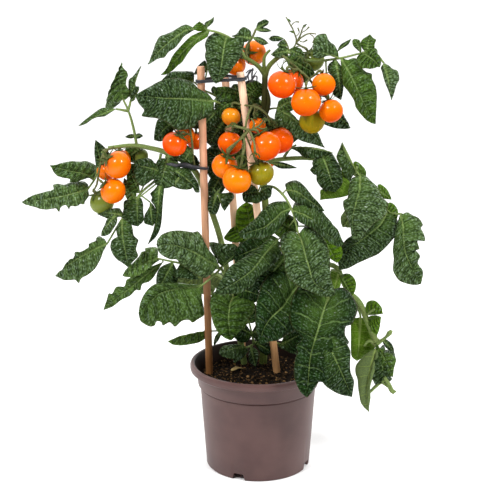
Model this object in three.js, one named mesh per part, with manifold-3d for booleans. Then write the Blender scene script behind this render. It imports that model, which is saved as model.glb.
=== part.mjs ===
import * as THREE from "three";
import { mergeVertices } from "three/addons/utils/BufferGeometryUtils.js";
import Module from "manifold-3d";

// A cherry tomato plant, staked with three canes, in a round nursery pot.
// Millimetres, +Z up. The origin is on the pot's axis, on the ground under its foot.
// The plant is seen from the front along +Y, with +X to the right.

const wasm = await Module();
wasm.setup();

// Driving sizes of the pot.
const POT_HEIGHT = 118;
const RIM_RADIUS = 75;
const LIP_DROP = 8;
const LIP_UNDERSIDE_RADIUS = 68.4;
const COLLAR_RADIUS = 66.5;
const COLLAR_FOOT = 92;
const COLLAR_STEP = 2;
const BODY_RADIUS = 64;
const BASE_RADIUS = 57.6;
const WALL = 1.6;
const FLOOR_HEIGHT = 7;
const FLOOR_THICKNESS = 2;
const FOOT_WIDTH = 2.6;
const BOSS_RADIUS = 9;
const POT_SIDES = 30;
const NOTCH_HEIGHT = 7.5;
const NOTCH_FOOT_WIDTH = 19;
const NOTCH_TOP_WIDTH = 11;
const NOTCH_DEPTH = 16;
const NOTCH_ANGLES = [-22, 68, 158, 248];

// Driving sizes of the soil, the canes and the ties.
const SOIL_TOP = 103;
const SOIL_HUMP = 1.4;
const SOIL_SIDES = 20;
const GAP = 0.4;
const SMALLEST_DETAIL = 0.25;
const CANE_RADIUS = 4;
const CANE_SIDES = 12;
const TIE_THICKNESS = 1.3;
const TIE_WIDTH = 2.4;
const TIE_SLACK = 0.5;

// Driving sizes of the plant.
const MAIN_STEM_RADIUS = 4.2;
const BRANCH_RADIUS = 2.9;
const SHOOT_RADIUS = 2.1;
const SIDE_STEM_RADIUS = 3.3;
const SIDE_STEM_TIP_RADIUS = 2.7;
const PETIOLE_RADIUS = 1.5;
const LEAFLET_STALK_RADIUS = 1;
const LEAFLET_STALK_LENGTH = 5;
const TRUSS_RADIUS = 1.3;
const PEDICEL_RADIUS = 1;
const CALYX_SEPALS = 5;
const BLADE_THICKNESS = 0.8;
const BLADE_WIDEST = 0.4;
const BLADE_FOOT_SHARE = 0.06;
const BLADE_FIRST_TOOTH = 0.14;
const BLADE_TOOTHED_SHARE = 0.8;
const BLADE_NOTCH_SHARE = 0.6;
const BLADE_NOTCH_WIDTH = 0.8;

// Colours.
const POT_COLOUR = 0x7a6260;
const SOIL_COLOUR = 0x1f1710;
const CANE_COLOUR = 0xc99a6b;
const TIE_COLOUR = 0x1b1c1e;
const STEM_COLOUR = 0x66743a;
const LEAF_COLOUR = 0x3f5f35;
const DRY_LEAF_COLOUR = 0x9a7d52;
const RIPE_COLOUR = 0xf2741c;

// The view that places are read in: a picture of 500 x 500, taken a little above the plant's
// middle and looking down at it.
const EYE = new THREE.Vector3(-8.9, -1279, 591);
const VIEW_DOWN = THREE.MathUtils.degToRad(15.14);
const VIEW_FOCAL = 1229;
const VIEW_CENTRE = 250;

// The point seen at (across, down) in that view, at a depth behind the pot's axis.
function seen(across, down, depth) {
  const c = Math.cos(VIEW_DOWN);
  const s = Math.sin(VIEW_DOWN);
  const away = depth - EYE.y;
  const slope = (VIEW_CENTRE - down) / VIEW_FOCAL;
  const rise = away * (slope * c - s) / (c + slope * s);
  const range = away * c - rise * s;
  return new THREE.Vector3(EYE.x + (across - VIEW_CENTRE) * range / VIEW_FOCAL, depth, EYE.z + rise);
}

const place = ([across, down, depth]) => seen(across, down, depth);
const through = (places) => places.map(place);
const point = ([x, y, z]) => new THREE.Vector3(x, y, z);

// A closed geometry as a solid that can be joined and cut, and such a solid as a geometry.
function solid(geometry) {
  const bare = geometry.clone();
  bare.deleteAttribute("normal");
  bare.deleteAttribute("uv");
  const merged = mergeVertices(bare, 1e-4);
  const mesh = new wasm.Mesh({
    numProp: 3,
    vertProperties: new Float32Array(merged.attributes.position.array),
    triVerts: new Uint32Array(merged.index.array),
  });
  return new wasm.Manifold(mesh);
}

function geometryOf(whole) {
  const mesh = whole.getMesh();
  const geometry = new THREE.BufferGeometry();
  geometry.setAttribute("position", new THREE.BufferAttribute(new Float32Array(mesh.vertProperties), 3));
  geometry.setIndex(new THREE.BufferAttribute(new Uint32Array(mesh.triVerts), 1));
  geometry.computeVertexNormals();
  return geometry;
}

const join = (pieces) => pieces.reduce((whole, piece) => whole.add(piece));
const cut = (whole, tools) => tools.reduce((rest, tool) => rest.subtract(tool), whole);

// The biggest body of a solid: loose scraps that a cut leaves are dropped.
function biggestBody(whole) {
  const bodies = whole.decompose();
  return bodies.reduce((best, body) => (body.volume() > best.volume() ? body : best));
}

// A round rod along the points that it passes, with equal steps from each point to the next.
function rod(points, radius, sides, steps) {
  const path = new THREE.CatmullRomCurve3(points);
  path.getUtoTmapping = (share) => share;
  const corners = Array.from({ length: sides }, (_, i) => {
    const angle = 2 * Math.PI * i / sides;
    return new THREE.Vector2(radius * Math.cos(angle), radius * Math.sin(angle));
  });
  const options = { steps, extrudePath: path, bevelEnabled: false };
  return solid(new THREE.ExtrudeGeometry(new THREE.Shape(corners), options));
}

// A rod that bends at each of its points, for the thin stalks.
function bentRod(points, radius, sides) {
  return rod(points, radius, sides, points.length - 1);
}

function lathe(profile, sides) {
  const points = profile.map(([r, z]) => new THREE.Vector2(r, z));
  return solid(new THREE.LatheGeometry(points, sides).rotateX(Math.PI / 2));
}

// The pot: a turned shell with a rolled lip, a collar, a raised floor and a boss under its middle.
function potShell() {
  const lipFoot = POT_HEIGHT - LIP_DROP;
  const floorTop = FLOOR_HEIGHT + FLOOR_THICKNESS;
  const shell = lathe([
    [0, FLOOR_HEIGHT], [BASE_RADIUS - 10, FLOOR_HEIGHT], [BASE_RADIUS - FOOT_WIDTH - 1, 2.2],
    [BASE_RADIUS - FOOT_WIDTH, 0], [BASE_RADIUS - 1, 0], [BASE_RADIUS, 1],
    [BODY_RADIUS, COLLAR_FOOT], [COLLAR_RADIUS, COLLAR_FOOT + COLLAR_STEP], [LIP_UNDERSIDE_RADIUS, lipFoot],
    [RIM_RADIUS - 1.2, lipFoot], [RIM_RADIUS, lipFoot + 1.4], [RIM_RADIUS, POT_HEIGHT - 2.6],
    [RIM_RADIUS - 2.4, POT_HEIGHT], [RIM_RADIUS - 5, POT_HEIGHT - 0.6],
    [LIP_UNDERSIDE_RADIUS - WALL, lipFoot], [COLLAR_RADIUS - WALL, COLLAR_FOOT + COLLAR_STEP],
    [BODY_RADIUS - WALL, COLLAR_FOOT], [BASE_RADIUS - WALL, floorTop + 2],
    [BASE_RADIUS - WALL - 2, floorTop], [0, floorTop],
  ], POT_SIDES);
  const bossTop = FLOOR_HEIGHT + FLOOR_THICKNESS / 2;
  const boss = new THREE.CylinderGeometry(BOSS_RADIUS, BOSS_RADIUS, bossTop, 20);
  boss.rotateX(Math.PI / 2).translate(0, 0, bossTop / 2);
  return cut(shell.add(solid(boss)), NOTCH_ANGLES.map(notch));
}

// One drainage notch: a trapezoid, wider at the ground, cut in from the foot of the wall.
function notch(degreesFromFront) {
  const outline = new THREE.Shape();
  outline.moveTo(-NOTCH_FOOT_WIDTH / 2, -1);
  outline.lineTo(NOTCH_FOOT_WIDTH / 2, -1);
  outline.lineTo(NOTCH_TOP_WIDTH / 2, NOTCH_HEIGHT);
  outline.lineTo(-NOTCH_TOP_WIDTH / 2, NOTCH_HEIGHT);
  outline.closePath();
  const wedge = new THREE.ExtrudeGeometry(outline, { depth: NOTCH_DEPTH + 4, bevelEnabled: false });
  wedge.rotateX(Math.PI / 2).translate(0, NOTCH_DEPTH - BASE_RADIUS, 0);
  wedge.rotateZ(THREE.MathUtils.degToRad(degreesFromFront));
  return solid(wedge);
}

// The soil fills the pot up to its collar and is a little higher in the middle.
// The stems and canes stand in plain holes in it.
function soilPlug() {
  const floor = FLOOR_HEIGHT + FLOOR_THICKNESS + GAP;
  const inset = WALL + GAP + 0.5;
  const collar = COLLAR_RADIUS - inset;
  const plug = lathe([
    [0, floor], [BASE_RADIUS - inset - 2.5, floor], [BASE_RADIUS - inset, floor + 2.6],
    [BODY_RADIUS - inset, COLLAR_FOOT - 0.4], [collar, COLLAR_FOOT + COLLAR_STEP],
    [collar, SOIL_TOP - SOIL_HUMP], [collar * 0.66, SOIL_TOP - SOIL_HUMP / 2],
    [collar * 0.3, SOIL_TOP], [0, SOIL_TOP],
  ], SOIL_SIDES);
  return cut(plug, [mainStem(GAP), sideStem(GAP), ...Object.values(CANES).map((c) => cane(c, GAP))]);
}

// The canes: left, right and back, each from its top down into the soil.
const CANES = {
  cane_left: { top: [-60, 0, 442], foot: [-52.5, 3.7, 22] },
  cane_right: { top: [-19, 0, 436], foot: [29, 7.2, 36] },
  cane_back: { top: [-35, 23, 427], foot: [-14.2, 50, 50] },
};

function cane({ top, foot }, extra) {
  return bentRod([point(foot), point(top)], CANE_RADIUS + extra, CANE_SIDES);
}

function caneAt({ top, foot }, height) {
  return point(foot).lerp(point(top), (height - foot[2]) / (top[2] - foot[2]));
}

// A flat rubber tie round the rods that it holds: a band between two rounded outlines, and its knot.
function tie(centres, radii, height, tilt, knot) {
  const outer = roundedHull(centres, radii.map((r) => r + TIE_SLACK + TIE_THICKNESS), new THREE.Shape());
  outer.holes.push(roundedHull(centres, radii.map((r) => r + TIE_SLACK), new THREE.Path()));
  const band = new THREE.ExtrudeGeometry(outer, { depth: TIE_WIDTH, curveSegments: 4, bevelEnabled: false });
  band.translate(0, 0, -TIE_WIDTH / 2);
  const lump = new THREE.SphereGeometry(1, 8, 6).scale(knot.length, knot.depth, knot.height);
  lump.translate(knot.x, knot.y, 0);
  const middle = (centres[0].x + centres[1].x) / 2;
  const slant = (geometry) => geometry.translate(-middle, 0, 0).rotateY(tilt).translate(middle, 0, height);
  return solid(slant(band)).add(solid(slant(lump)));
}

// The outline that a band takes round circles that are given anticlockwise.
function roundedHull(centres, radii, outline) {
  const count = centres.length;
  const outward = centres.map((c, i) => {
    const next = centres[(i + 1) % count];
    return Math.atan2(next.y - c.y, next.x - c.x) - Math.PI / 2;
  });
  centres.forEach((c, i) => {
    const start = outward[(i + count - 1) % count];
    const turn = THREE.MathUtils.euclideanModulo(outward[i] - start, 2 * Math.PI);
    outline.absarc(c.x, c.y, radii[i], start, start + turn);
  });
  outline.closePath();
  return outline;
}

function upperTie() {
  const height = 427;
  const left = caneAt(CANES.cane_left, height);
  const right = caneAt(CANES.cane_right, height);
  const back = caneAt(CANES.cane_back, height - 6);
  const knot = { x: right.x - 7, y: -CANE_RADIUS - 1.4, length: 4, depth: 1.4, height: 1.9 };
  return tie([left, right, back], [CANE_RADIUS, CANE_RADIUS, CANE_RADIUS], height, -0.08, knot);
}

function lowerTie() {
  const height = 336;
  const stem = place([186, 164, 9]);
  const held = caneAt(CANES.cane_left, height);
  const knot = { x: stem.x, y: stem.y - 9, length: 6, depth: 1.8, height: 2.4 };
  return tie([stem, held], [7, CANE_RADIUS], height, 0.07, knot);
}

// The stems, as the places that they pass: across, down, depth.
const MAIN_STEM = [
  [262, 398, 33], [263, 363, 32], [268, 300, 25], [268, 240, 15], [265, 200, 8], [262, 150, 12],
  [262, 110, 10], [264, 72, 8],
];
const LEFT_BRANCH = [[264, 76, 8], [258, 66, 8], [251, 61, 7], [243, 57, 5]];
const RIGHT_BRANCH = [[264, 76, 8], [267, 62, 8], [275, 54, 8], [287, 51, 7]];
const SIDE_STEM = [
  [244, 395, 33], [244, 363, 32], [231, 300, 24], [222, 245, 18], [209, 204, 14], [198, 175, 12],
];
const SIDE_STEM_TIP = [[201, 181, 12.5], [192, 168, 10], [165, 150, 4], [135, 145, 0], [108, 148, -2]];

function mainStem(extra) {
  return join([
    rod(through(MAIN_STEM), MAIN_STEM_RADIUS + extra, 8, 14),
    rod(through(LEFT_BRANCH), BRANCH_RADIUS + extra, 6, 3),
    rod(through(RIGHT_BRANCH), BRANCH_RADIUS + extra, 6, 6),
  ]);
}

function sideStem(extra) {
  return join([
    rod(through(SIDE_STEM), SIDE_STEM_RADIUS + extra, 8, 10),
    rod(through(SIDE_STEM_TIP), SIDE_STEM_TIP_RADIUS + extra, 6, 8),
  ]);
}

// A leaflet, as a thin arched blade with a toothed edge, from its foot to its tip.
// Its face looks along "face", its edges fold up by "fold", and it bulges by "arch" of its length.
function blade({ foot, tip, wide, face, arch = 0.1, fold = -0.25, teeth = wide < 23 ? 2 : 3 }) {
  const start = foot.isVector3 ? foot : place(foot);
  const reach = (tip.isVector3 ? tip.clone() : place(tip)).sub(start);
  const length = reach.length();
  const along = reach.clone().normalize();
  const side = along.clone().cross(face).normalize();
  const up = side.clone().cross(along);
  const points = [];
  const normals = [];
  const addPoint = (t, across) => {
    const half = across * wide / 2;
    const normal = up.clone().addScaledVector(along, -arch * 4 * (1 - 2 * t)).normalize();
    const spot = start.clone().addScaledVector(reach, t);
    spot.addScaledVector(up, arch * 4 * t * (1 - t) * length);
    spot.addScaledVector(side, half * Math.cos(fold));
    spot.addScaledVector(normal, Math.abs(half) * Math.sin(fold));
    points.push(spot);
    normals.push(normal);
    return points.length - 1;
  };
  const left = [addPoint(0, -BLADE_FOOT_SHARE)];
  const middle = [addPoint(0, 0)];
  const right = [addPoint(0, BLADE_FOOT_SHARE)];
  const step = BLADE_TOOTHED_SHARE / teeth;
  for (let i = 0; i < teeth; i += 1) {
    const tooth = BLADE_FIRST_TOOTH + i * step;
    const notchAt = tooth + BLADE_NOTCH_SHARE * step;
    const toothReach = bladeOutline(tooth);
    const notchReach = BLADE_NOTCH_WIDTH * bladeOutline(notchAt);
    middle.push(addPoint(tooth, 0));
    left.push(addPoint(tooth, -toothReach), addPoint(notchAt, -notchReach));
    right.push(addPoint(tooth, toothReach), addPoint(notchAt, notchReach));
  }
  const end = addPoint(1, 0);
  const faces = [
    [middle[0], middle[1], left[0]], [left[0], middle[1], left[1]],
    [middle[0], right[0], middle[1]], [right[0], right[1], middle[1]],
  ];
  for (let i = 1; i <= teeth; i += 1) {
    const here = middle[i];
    const next = middle[i + 1] ?? end;
    faces.push([here, left[2 * i], left[2 * i - 1]], [here, next, left[2 * i]]);
    faces.push([here, right[2 * i - 1], right[2 * i]], [here, right[2 * i], next]);
    if (i < teeth) {
      faces.push([next, left[2 * i + 1], left[2 * i]], [next, right[2 * i], right[2 * i + 1]]);
    }
  }
  return slab(points, normals, faces, [...left.slice().reverse(), middle[0], ...right, end]);
}

// How wide a leaflet is on its way from foot to tip: 1 at the widest.
function bladeOutline(t) {
  if (t < BLADE_WIDEST) {
    return (1 - ((BLADE_WIDEST - t) / BLADE_WIDEST) ** 2.6) ** 0.8;
  }
  return 1 - ((t - BLADE_WIDEST) / (1 - BLADE_WIDEST)) ** 1.9;
}

// A thin slab with the same triangles on both faces, closed by a wall along its rim.
function slab(points, normals, faces, rim) {
  const count = points.length;
  const positions = [];
  [1, -1].forEach((turn) => points.forEach((p, i) => {
    const q = p.clone().addScaledVector(normals[i], turn * BLADE_THICKNESS / 2);
    positions.push(q.x, q.y, q.z);
  }));
  const index = faces.flatMap(([i, j, k]) => [i, j, k, i + count, k + count, j + count]);
  rim.forEach((i, n) => {
    const j = rim[(n + 1) % rim.length];
    index.push(i, i + count, j + count, i, j + count, j);
  });
  const geometry = new THREE.BufferGeometry();
  geometry.setAttribute("position", new THREE.BufferAttribute(new Float32Array(positions), 3));
  geometry.setIndex(index);
  return solid(geometry);
}

// The ways that a leaflet can face.
const facing = (x, y, z) => new THREE.Vector3(x, y, z).normalize();
const FRONT = facing(0, -1, 0.3);
const HALF = facing(0, -0.75, 0.66);
const TOP = facing(0, -0.3, 0.95);
const FRONT_LEFT = facing(-0.55, -0.75, 0.35);
const FRONT_RIGHT = facing(0.55, -0.75, 0.35);
const BACK = facing(0, 0.85, 0.5);
const UPWARD = facing(0, 0.35, 0.94);

// The leaves. A leaf's stalks carry its leaflets, and each stalk starts in the stem that bears it.
// Places are across, down, depth in the view, and widths are in millimetres.
const LEAVES = {
  leaf_top_left: {
    stalks: [[[246, 59, 6], [236, 43, 2], [222, 34, -2], [203, 29, -4]]],
    blades: [
      { foot: [196, 29, -4], tip: [148, 64, -20], wide: 20, face: HALF },
      { foot: [204, 31, -3], tip: [162, 74, 6], wide: 12, face: FRONT, fold: 0.3 },
      { foot: [204, 29, -4], tip: [213, 18, -6], wide: 6, face: FRONT },
      { foot: [205, 30, -4], tip: [196, 22, -12], wide: 10, face: TOP },
      { foot: [226, 36, -1], tip: [216, 83, -17], wide: 40, face: FRONT, arch: 0.06 },
      { foot: [236, 43, 2], tip: [245, 27, -2], wide: 9, face: FRONT },
    ],
  },
  leaf_left_high: {
    stalks: [[[137, 147, 0], [133, 126, 2], [128, 110, 4], [123, 99, 4]]],
    blades: [
      { foot: [123, 100, 4], tip: [121, 63, 8], wide: 14, face: FRONT_LEFT },
      { foot: [123, 101, 4], tip: [107, 102, -8], wide: 10, face: FRONT },
      { foot: [127, 109, 4], tip: [79, 126, -10], wide: 11, face: FRONT },
      { foot: [129, 111, 4], tip: [141, 66, 8], wide: 9, face: FRONT },
      { foot: [130, 116, 4], tip: [137, 96, -4], wide: 7, face: FRONT_RIGHT },
      { foot: [134, 134, 2], tip: [125, 136, -4], wide: 5, face: FRONT },
    ],
  },
  leaf_broad_left: {
    stalks: [
      [[262, 117, 10], [248, 110, 15], [226, 105, 15], [214, 105, -8]],
      [[228, 106, 15], [216, 96, 14], [203, 90, 13]],
    ],
    blades: [
      { foot: [214, 105, -8], tip: [136, 98, -30], wide: 50, face: FRONT, arch: 0.05 },
      { foot: [203, 89, 13], tip: [162, 79, 15], wide: 22, face: HALF },
      { foot: [203, 90, 13], tip: [187, 61, 22], wide: 14, face: FRONT },
      { foot: [218, 105, 6], tip: [209, 144, 15], wide: 16, face: FRONT },
    ],
  },
  leaf_left_mid: {
    stalks: [[[111, 147.5, 0], [98, 158, 19], [96, 176, 20], [88, 189, 12]]],
    blades: [
      { foot: [97, 177, 19], tip: [50, 166, 2], wide: 22, face: HALF },
      { foot: [90, 188, 13], tip: [22, 204, -8], wide: 34, face: HALF },
      { foot: [102, 154, 14], tip: [96, 139, 20], wide: 14, face: FRONT },
    ],
  },
  leaf_left_low: {
    stalks: [[[168, 152, 5], [160, 175, 2], [142, 192, -4], [124, 216, -10], [107, 244, -12]]],
    blades: [
      { foot: [121, 220, -10], tip: [100, 235, -22], wide: 16, face: HALF },
      { foot: [123, 219, -10], tip: [129, 267, -22], wide: 31, face: FRONT },
      { foot: [108, 243, -12], tip: [55, 277, -28], wide: 26, face: HALF },
      { foot: [138, 197, -6], tip: [137, 227, -16], wide: 22, face: FRONT_LEFT },
      { foot: [132, 206, -8], tip: [146, 222, -18], wide: 10, face: FRONT },
    ],
  },
  leaf_left_inner: {
    stalks: [[[170, 153, 5], [165, 166, -3], [161, 180, -6]]],
    blades: [
      { foot: [161, 180, -6], tip: [150, 244, -4], wide: 15, face: FRONT_RIGHT, fold: 0.25 },
      { foot: [165, 168, -3], tip: [136, 160, -6], wide: 24, face: HALF },
      { foot: [163, 175, -5], tip: [143, 186, -12], wide: 16, face: FRONT },
      { foot: [164, 172, -4], tip: [199, 193, -14], wide: 20, face: HALF },
      { foot: [163, 176, -5], tip: [179, 196, -4], wide: 15, face: FRONT },
    ],
  },
  leaf_lower_left: {
    stalks: [
      [[224, 262, 19], [221, 268, 2], [212, 277, -10], [200, 287, -16]],
      [[221, 268, 2], [204, 268, -9], [184, 264, -9], [155, 258, -4]],
      [[221, 268, 2], [229, 284, -6], [234, 298, -12]],
    ],
    blades: [
      { foot: [218, 268, -7], tip: [158, 242, -28], wide: 44, face: FRONT, arch: 0.06 },
      { foot: [223, 264, 8], tip: [237, 247, -8], wide: 24, face: TOP },
      { foot: [158, 259, -5], tip: [122, 276, -16], wide: 24, face: HALF },
      { foot: [166, 262, -7], tip: [104, 310, -14], wide: 22, face: FRONT },
      { foot: [203, 286, -16], tip: [139, 308, -36], wide: 50, face: FRONT, arch: 0.06, teeth: 4 },
      { foot: [196, 267, -9], tip: [160, 290, -2], wide: 24, face: FRONT },
      { foot: [233, 296, -12], tip: [228, 340, -30], wide: 46, face: FRONT },
    ],
  },
  leaf_low_front: {
    stalks: [[[262, 338, 29], [254, 344, 14], [246, 348, 2]], [[261, 340, 26], [272, 342, 16], [281, 344, 10]]],
    blades: [
      { foot: [252, 345, 12], tip: [223, 352, -2], wide: 18, face: TOP },
      { foot: [250, 346, 8], tip: [257, 367, -4], wide: 18, face: HALF },
      { foot: [247, 348, 2], tip: [234, 363, -8], wide: 14, face: TOP },
      { foot: [279, 344, 12], tip: [297, 357, 2], wide: 16, face: TOP },
    ],
  },
  leaf_front_right: {
    stalks: [[[265, 186, 9], [277, 189, -14], [291, 208, -38], [299, 236, -56]]],
    blades: [
      { foot: [282, 191, -22], tip: [325, 212, -42], wide: 24, face: HALF },
      { foot: [294, 212, -42], tip: [344, 246, -62], wide: 32, face: FRONT_RIGHT },
      { foot: [299, 235, -56], tip: [333, 295, -92], wide: 52, face: FRONT, arch: 0.07 },
      { foot: [291, 209, -38], tip: [239, 233, -60], wide: 30, face: HALF },
    ],
  },
  leaf_front_centre: {
    stalks: [
      [[268, 252, 17], [277, 246, -20], [290, 262, -44], [302, 284, -56], [329, 298, -72]],
    ],
    blades: [
      { foot: [279, 243, -24], tip: [216, 294, -62], wide: 42, face: FRONT, arch: 0.07 },
      { foot: [293, 266, -46], tip: [260, 344, -78], wide: 50, face: FRONT, arch: 0.06 },
      { foot: [328, 297, -71], tip: [304, 398, -108], wide: 60, face: FRONT, arch: 0.06, teeth: 4 },
      { foot: [325, 318, -82], tip: [353, 397, -104], wide: 40, face: FRONT },
    ],
  },
  leaf_crown_back: {
    stalks: [[[262, 103, 11], [254, 97, 20], [246, 95, 15], [236, 97, 13]]],
    blades: [
      { foot: [238, 96, 12], tip: [210, 89, 12], wide: 17, face: FRONT },
      { foot: [253, 96, 21], tip: [249, 80, 28], wide: 22, face: FRONT },
      { foot: [252, 97, 20], tip: [257, 120, 25], wide: 18, face: FRONT },
    ],
  },
  leaf_centre_back: {
    stalks: [[[262, 132, 13], [250, 140, 26], [236, 152, 39], [222, 172, 42]]],
    blades: [
      { foot: [228, 163, 41], tip: [208, 150, 38], wide: 22, face: FRONT },
      { foot: [222, 172, 42], tip: [211, 200, 36], wide: 24, face: FRONT },
      { foot: [238, 151, 38], tip: [254, 172, 32], wide: 24, face: FRONT },
    ],
  },
  leaf_right_upper: {
    stalks: [[[286, 51, 7], [306, 60, 5], [335, 59, 0], [362, 53, -4]]],
    blades: [
      { foot: [314, 61, 4], tip: [352, 40, -10], wide: 26, face: HALF },
      { foot: [361, 54, -4], tip: [366, 34, 2], wide: 26, face: FRONT },
      { foot: [360, 54, -4], tip: [382, 62, -16], wide: 22, face: HALF },
      { foot: [362, 53, -4], tip: [393, 99, -6], wide: 17, face: FRONT, fold: 0.25 },
      { foot: [342, 59, -1], tip: [376, 124, -16], wide: 39, face: FRONT, arch: 0.06 },
      { foot: [338, 60, 0], tip: [332, 99, 2], wide: 22, face: FRONT },
      { foot: [328, 61, 2], tip: [345, 132, 12], wide: 22, face: FRONT },
    ],
  },
  leaf_back_high: {
    stalks: [[[262, 128, 14], [256, 121, 52], [248, 115, 90], [242, 118, 128]]],
    pairs: { count: 2, long: 46, wide: 28, drop: 0.5 },
  },
  leaf_back_middle: {
    stalks: [[[268, 272, 20], [275, 262, 60], [285, 262, 100], [292, 272, 136]]],
    pairs: { count: 2, long: 50, wide: 33, drop: 0.5 },
  },
  leaf_back_left: {
    stalks: [[[227, 282, 21], [216, 274, 58], [202, 276, 92], [190, 286, 120]]],
    pairs: { count: 2, long: 46, wide: 30, drop: 0.5 },
  },
};

// A small dead leaf that lies on the soil, in millimetres.
const FALLEN_LEAF = {
  foot: point([-30, 5, 103.9]), tip: point([-16, 11, 103.9]), wide: 8, face: facing(0, 0, 1), arch: 0.06, fold: 0,
};

// Leafy shoots: a shoot's own stem with the leaves along it.
const SHOOTS = {
  shoot_right: {
    stem: [
      [263, 165, 11], [272, 160, 22], [290, 157, 28], [312, 157, 24], [333, 162, 14], [352, 172, 8],
      [370, 190, 10], [386, 210, 8],
    ],
    stalks: [
      [[284, 157, 27], [290, 149, 26], [296, 145, 22]],
      [[322, 158, 19], [324, 166, 8], [326, 172, 4]],
      [[350, 171, 9], [348, 180, 18], [346, 188, 18]],
      [[355, 175, 8], [356, 171, 0], [357, 167, -6]],
      [[384, 208, 8], [392, 213, 4], [402, 214, 0]],
      [[366, 185, 10], [366, 196, 40], [364, 210, 66]],
    ],
    blades: [
      { foot: [294, 146, 23], tip: [323, 156, 8], wide: 18, face: HALF },
      { foot: [282, 160, 26], tip: [299, 169, 8], wide: 10, face: HALF },
      { foot: [325, 168, 6], tip: [334, 192, -6], wide: 28, face: FRONT },
      { foot: [324, 164, 10], tip: [340, 158, 2], wide: 14, face: TOP },
      { foot: [325, 170, 5], tip: [310, 170, -6], wide: 14, face: FRONT_LEFT },
      { foot: [347, 186, 18], tip: [320, 199, 8], wide: 22, face: HALF },
      { foot: [357, 168, -5], tip: [358, 242, -36], wide: 46, face: FRONT, arch: 0.07 },
      { foot: [356, 170, -4], tip: [343, 142, -4], wide: 17, face: FRONT },
      { foot: [357, 173, 3], tip: [368, 168, 12], wide: 12, face: HALF },
      { foot: [387, 211, 7], tip: [338, 270, -16], wide: 36, face: FRONT },
      { foot: [402, 214, 0], tip: [416, 285, -24], wide: 38, face: FRONT, teeth: 4 },
      { foot: [382, 205, 8], tip: [377, 185, 20], wide: 18, face: FRONT },
      { foot: [390, 212, 5], tip: [393, 200, 16], wide: 16, face: HALF },
    ],
    pairs: { count: 2, long: 38, wide: 26, drop: 0.8, from: 5 },
  },
  shoot_hanging: {
    stem: [[268, 296, 26], [290, 272, 40], [320, 266, 30], [342, 278, 12], [357, 306, 2], [376, 342, -8]],
    stalks: [
      [[373, 335, -6], [384, 343, -6], [394, 331, -6]],
      [[375, 340, -7], [378, 350, -12]],
      [[332, 270, 22], [338, 272, 8], [342, 276, 0]],
      [[357, 306, 2], [360, 314, 8], [361, 322, 12]],
      [[364, 319, -1], [370, 312, -6], [375, 309, -8]],
    ],
    blades: [
      { foot: [377, 346, -10], tip: [368, 412, -24], wide: 40, face: FRONT_LEFT, fold: 0.25, teeth: 4 },
      { foot: [377, 348, -11], tip: [396, 366, -20], wide: 26, face: FRONT_RIGHT },
      { foot: [341, 275, 2], tip: [355, 292, -8], wide: 28, face: FRONT_RIGHT },
      { foot: [361, 318, 10], tip: [354, 360, 8], wide: 20, face: FRONT_LEFT },
      { foot: [374, 310, -7], tip: [382, 302, -14], wide: 18, face: HALF },
      { foot: [370, 334, -5], tip: [380, 322, -12], wide: 14, face: HALF },
      { foot: [386, 343, -6], tip: [394, 352, -8], wide: 8, face: FRONT },
    ],
  },
};

// Small leaves that grow straight from the two stems.
const MAIN_STEM_LEAVES = {
  stalks: [
    [[267, 226, 13], [262, 236, 24], [252, 241, 24]],
    [[264, 200, 8], [262, 195, -2], [258, 192, -8]],
    [[262, 113, 10], [270, 109, 13], [278, 108, 14]],
  ],
  blades: [
    { foot: [277, 108, 14], tip: [324, 147, 12], wide: 24, face: HALF },
    { foot: [277, 108, 14], tip: [290, 96, 20], wide: 10, face: HALF },
    { foot: [254, 240, 24], tip: [245, 205, 28], wide: 26, face: FRONT },
    { foot: [262, 235, 23], tip: [236, 250, 18], wide: 20, face: HALF },
    { foot: [259, 193, -7], tip: [243, 196, -16], wide: 18, face: HALF },
    { foot: [260, 193, -6], tip: [274, 188, -14], wide: 14, face: HALF },
  ],
};
const SIDE_STEM_LEAVES = {
  stalks: [
    [[209, 203, 13], [213, 197, 9], [217, 193, 4]],
    [[237, 333, 28], [226, 331, 20], [212, 331, 14]],
  ],
  blades: [
    { foot: [215, 331, 15], tip: [168, 341, 4], wide: 18, face: TOP },
    { foot: [222, 331, 18], tip: [210, 350, 24], wide: 14, face: TOP },
    { foot: [216, 194, 6], tip: [224, 212, -4], wide: 14, face: FRONT },
    { foot: [213, 197, 9], tip: [212, 212, 0], wide: 10, face: FRONT },
    { foot: [216, 194, 5], tip: [229, 193, 0], wide: 10, face: HALF },
  ],
};

// A leaf or a leafy shoot: its stalks, its leaflets, and any leaflets in pairs.
function foliage({ stem = [], stalks, blades = [], pairs }) {
  const lines = stalks.map(through);
  const rods = lines.map((line) => bentRod(line, PETIOLE_RADIUS, 4));
  if (stem.length > 0) {
    lines.push(through(stem));
    rods.push(bentRod(through(stem), SHOOT_RADIUS, 6));
  }
  const leaflets = [...blades];
  if (pairs) {
    leaflets.push(...pairedBlades(lines[pairs.from ?? 0], pairs));
  }
  return join([...rods, ...leaflets.flatMap((shape) => borne(lines, shape))]);
}

// Leaflets in pairs along a leaf's stalk, one more at its end, all hanging a little.
function pairedBlades(line, { count, long, wide, drop }) {
  const curve = new THREE.CatmullRomCurve3(line);
  const end = curve.getPoint(1);
  const ahead = curve.getTangent(1);
  const blades = [{ foot: end, tip: hanging(end, ahead, long, drop), wide: wide * 1.15, face: UPWARD }];
  for (let i = 0; i < count; i += 1) {
    const t = 1 - 0.68 * (i + 0.6) / count;
    const foot = curve.getPoint(t);
    const tangent = curve.getTangent(t);
    const across = tangent.clone().cross(UPWARD).normalize();
    [-1, 1].forEach((turn) => {
      const way = across.clone().multiplyScalar(turn).addScaledVector(tangent, 0.5).normalize();
      const size = 1 - 0.12 * ((i + turn + 1) % 3);
      blades.push({ foot, tip: hanging(foot, way, long * size, drop), wide: wide * size, face: BACK });
    });
  }
  return blades;
}

function hanging(foot, way, long, drop) {
  return foot.clone().addScaledVector(way.clone().setZ(way.z - drop).normalize(), long);
}

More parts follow.
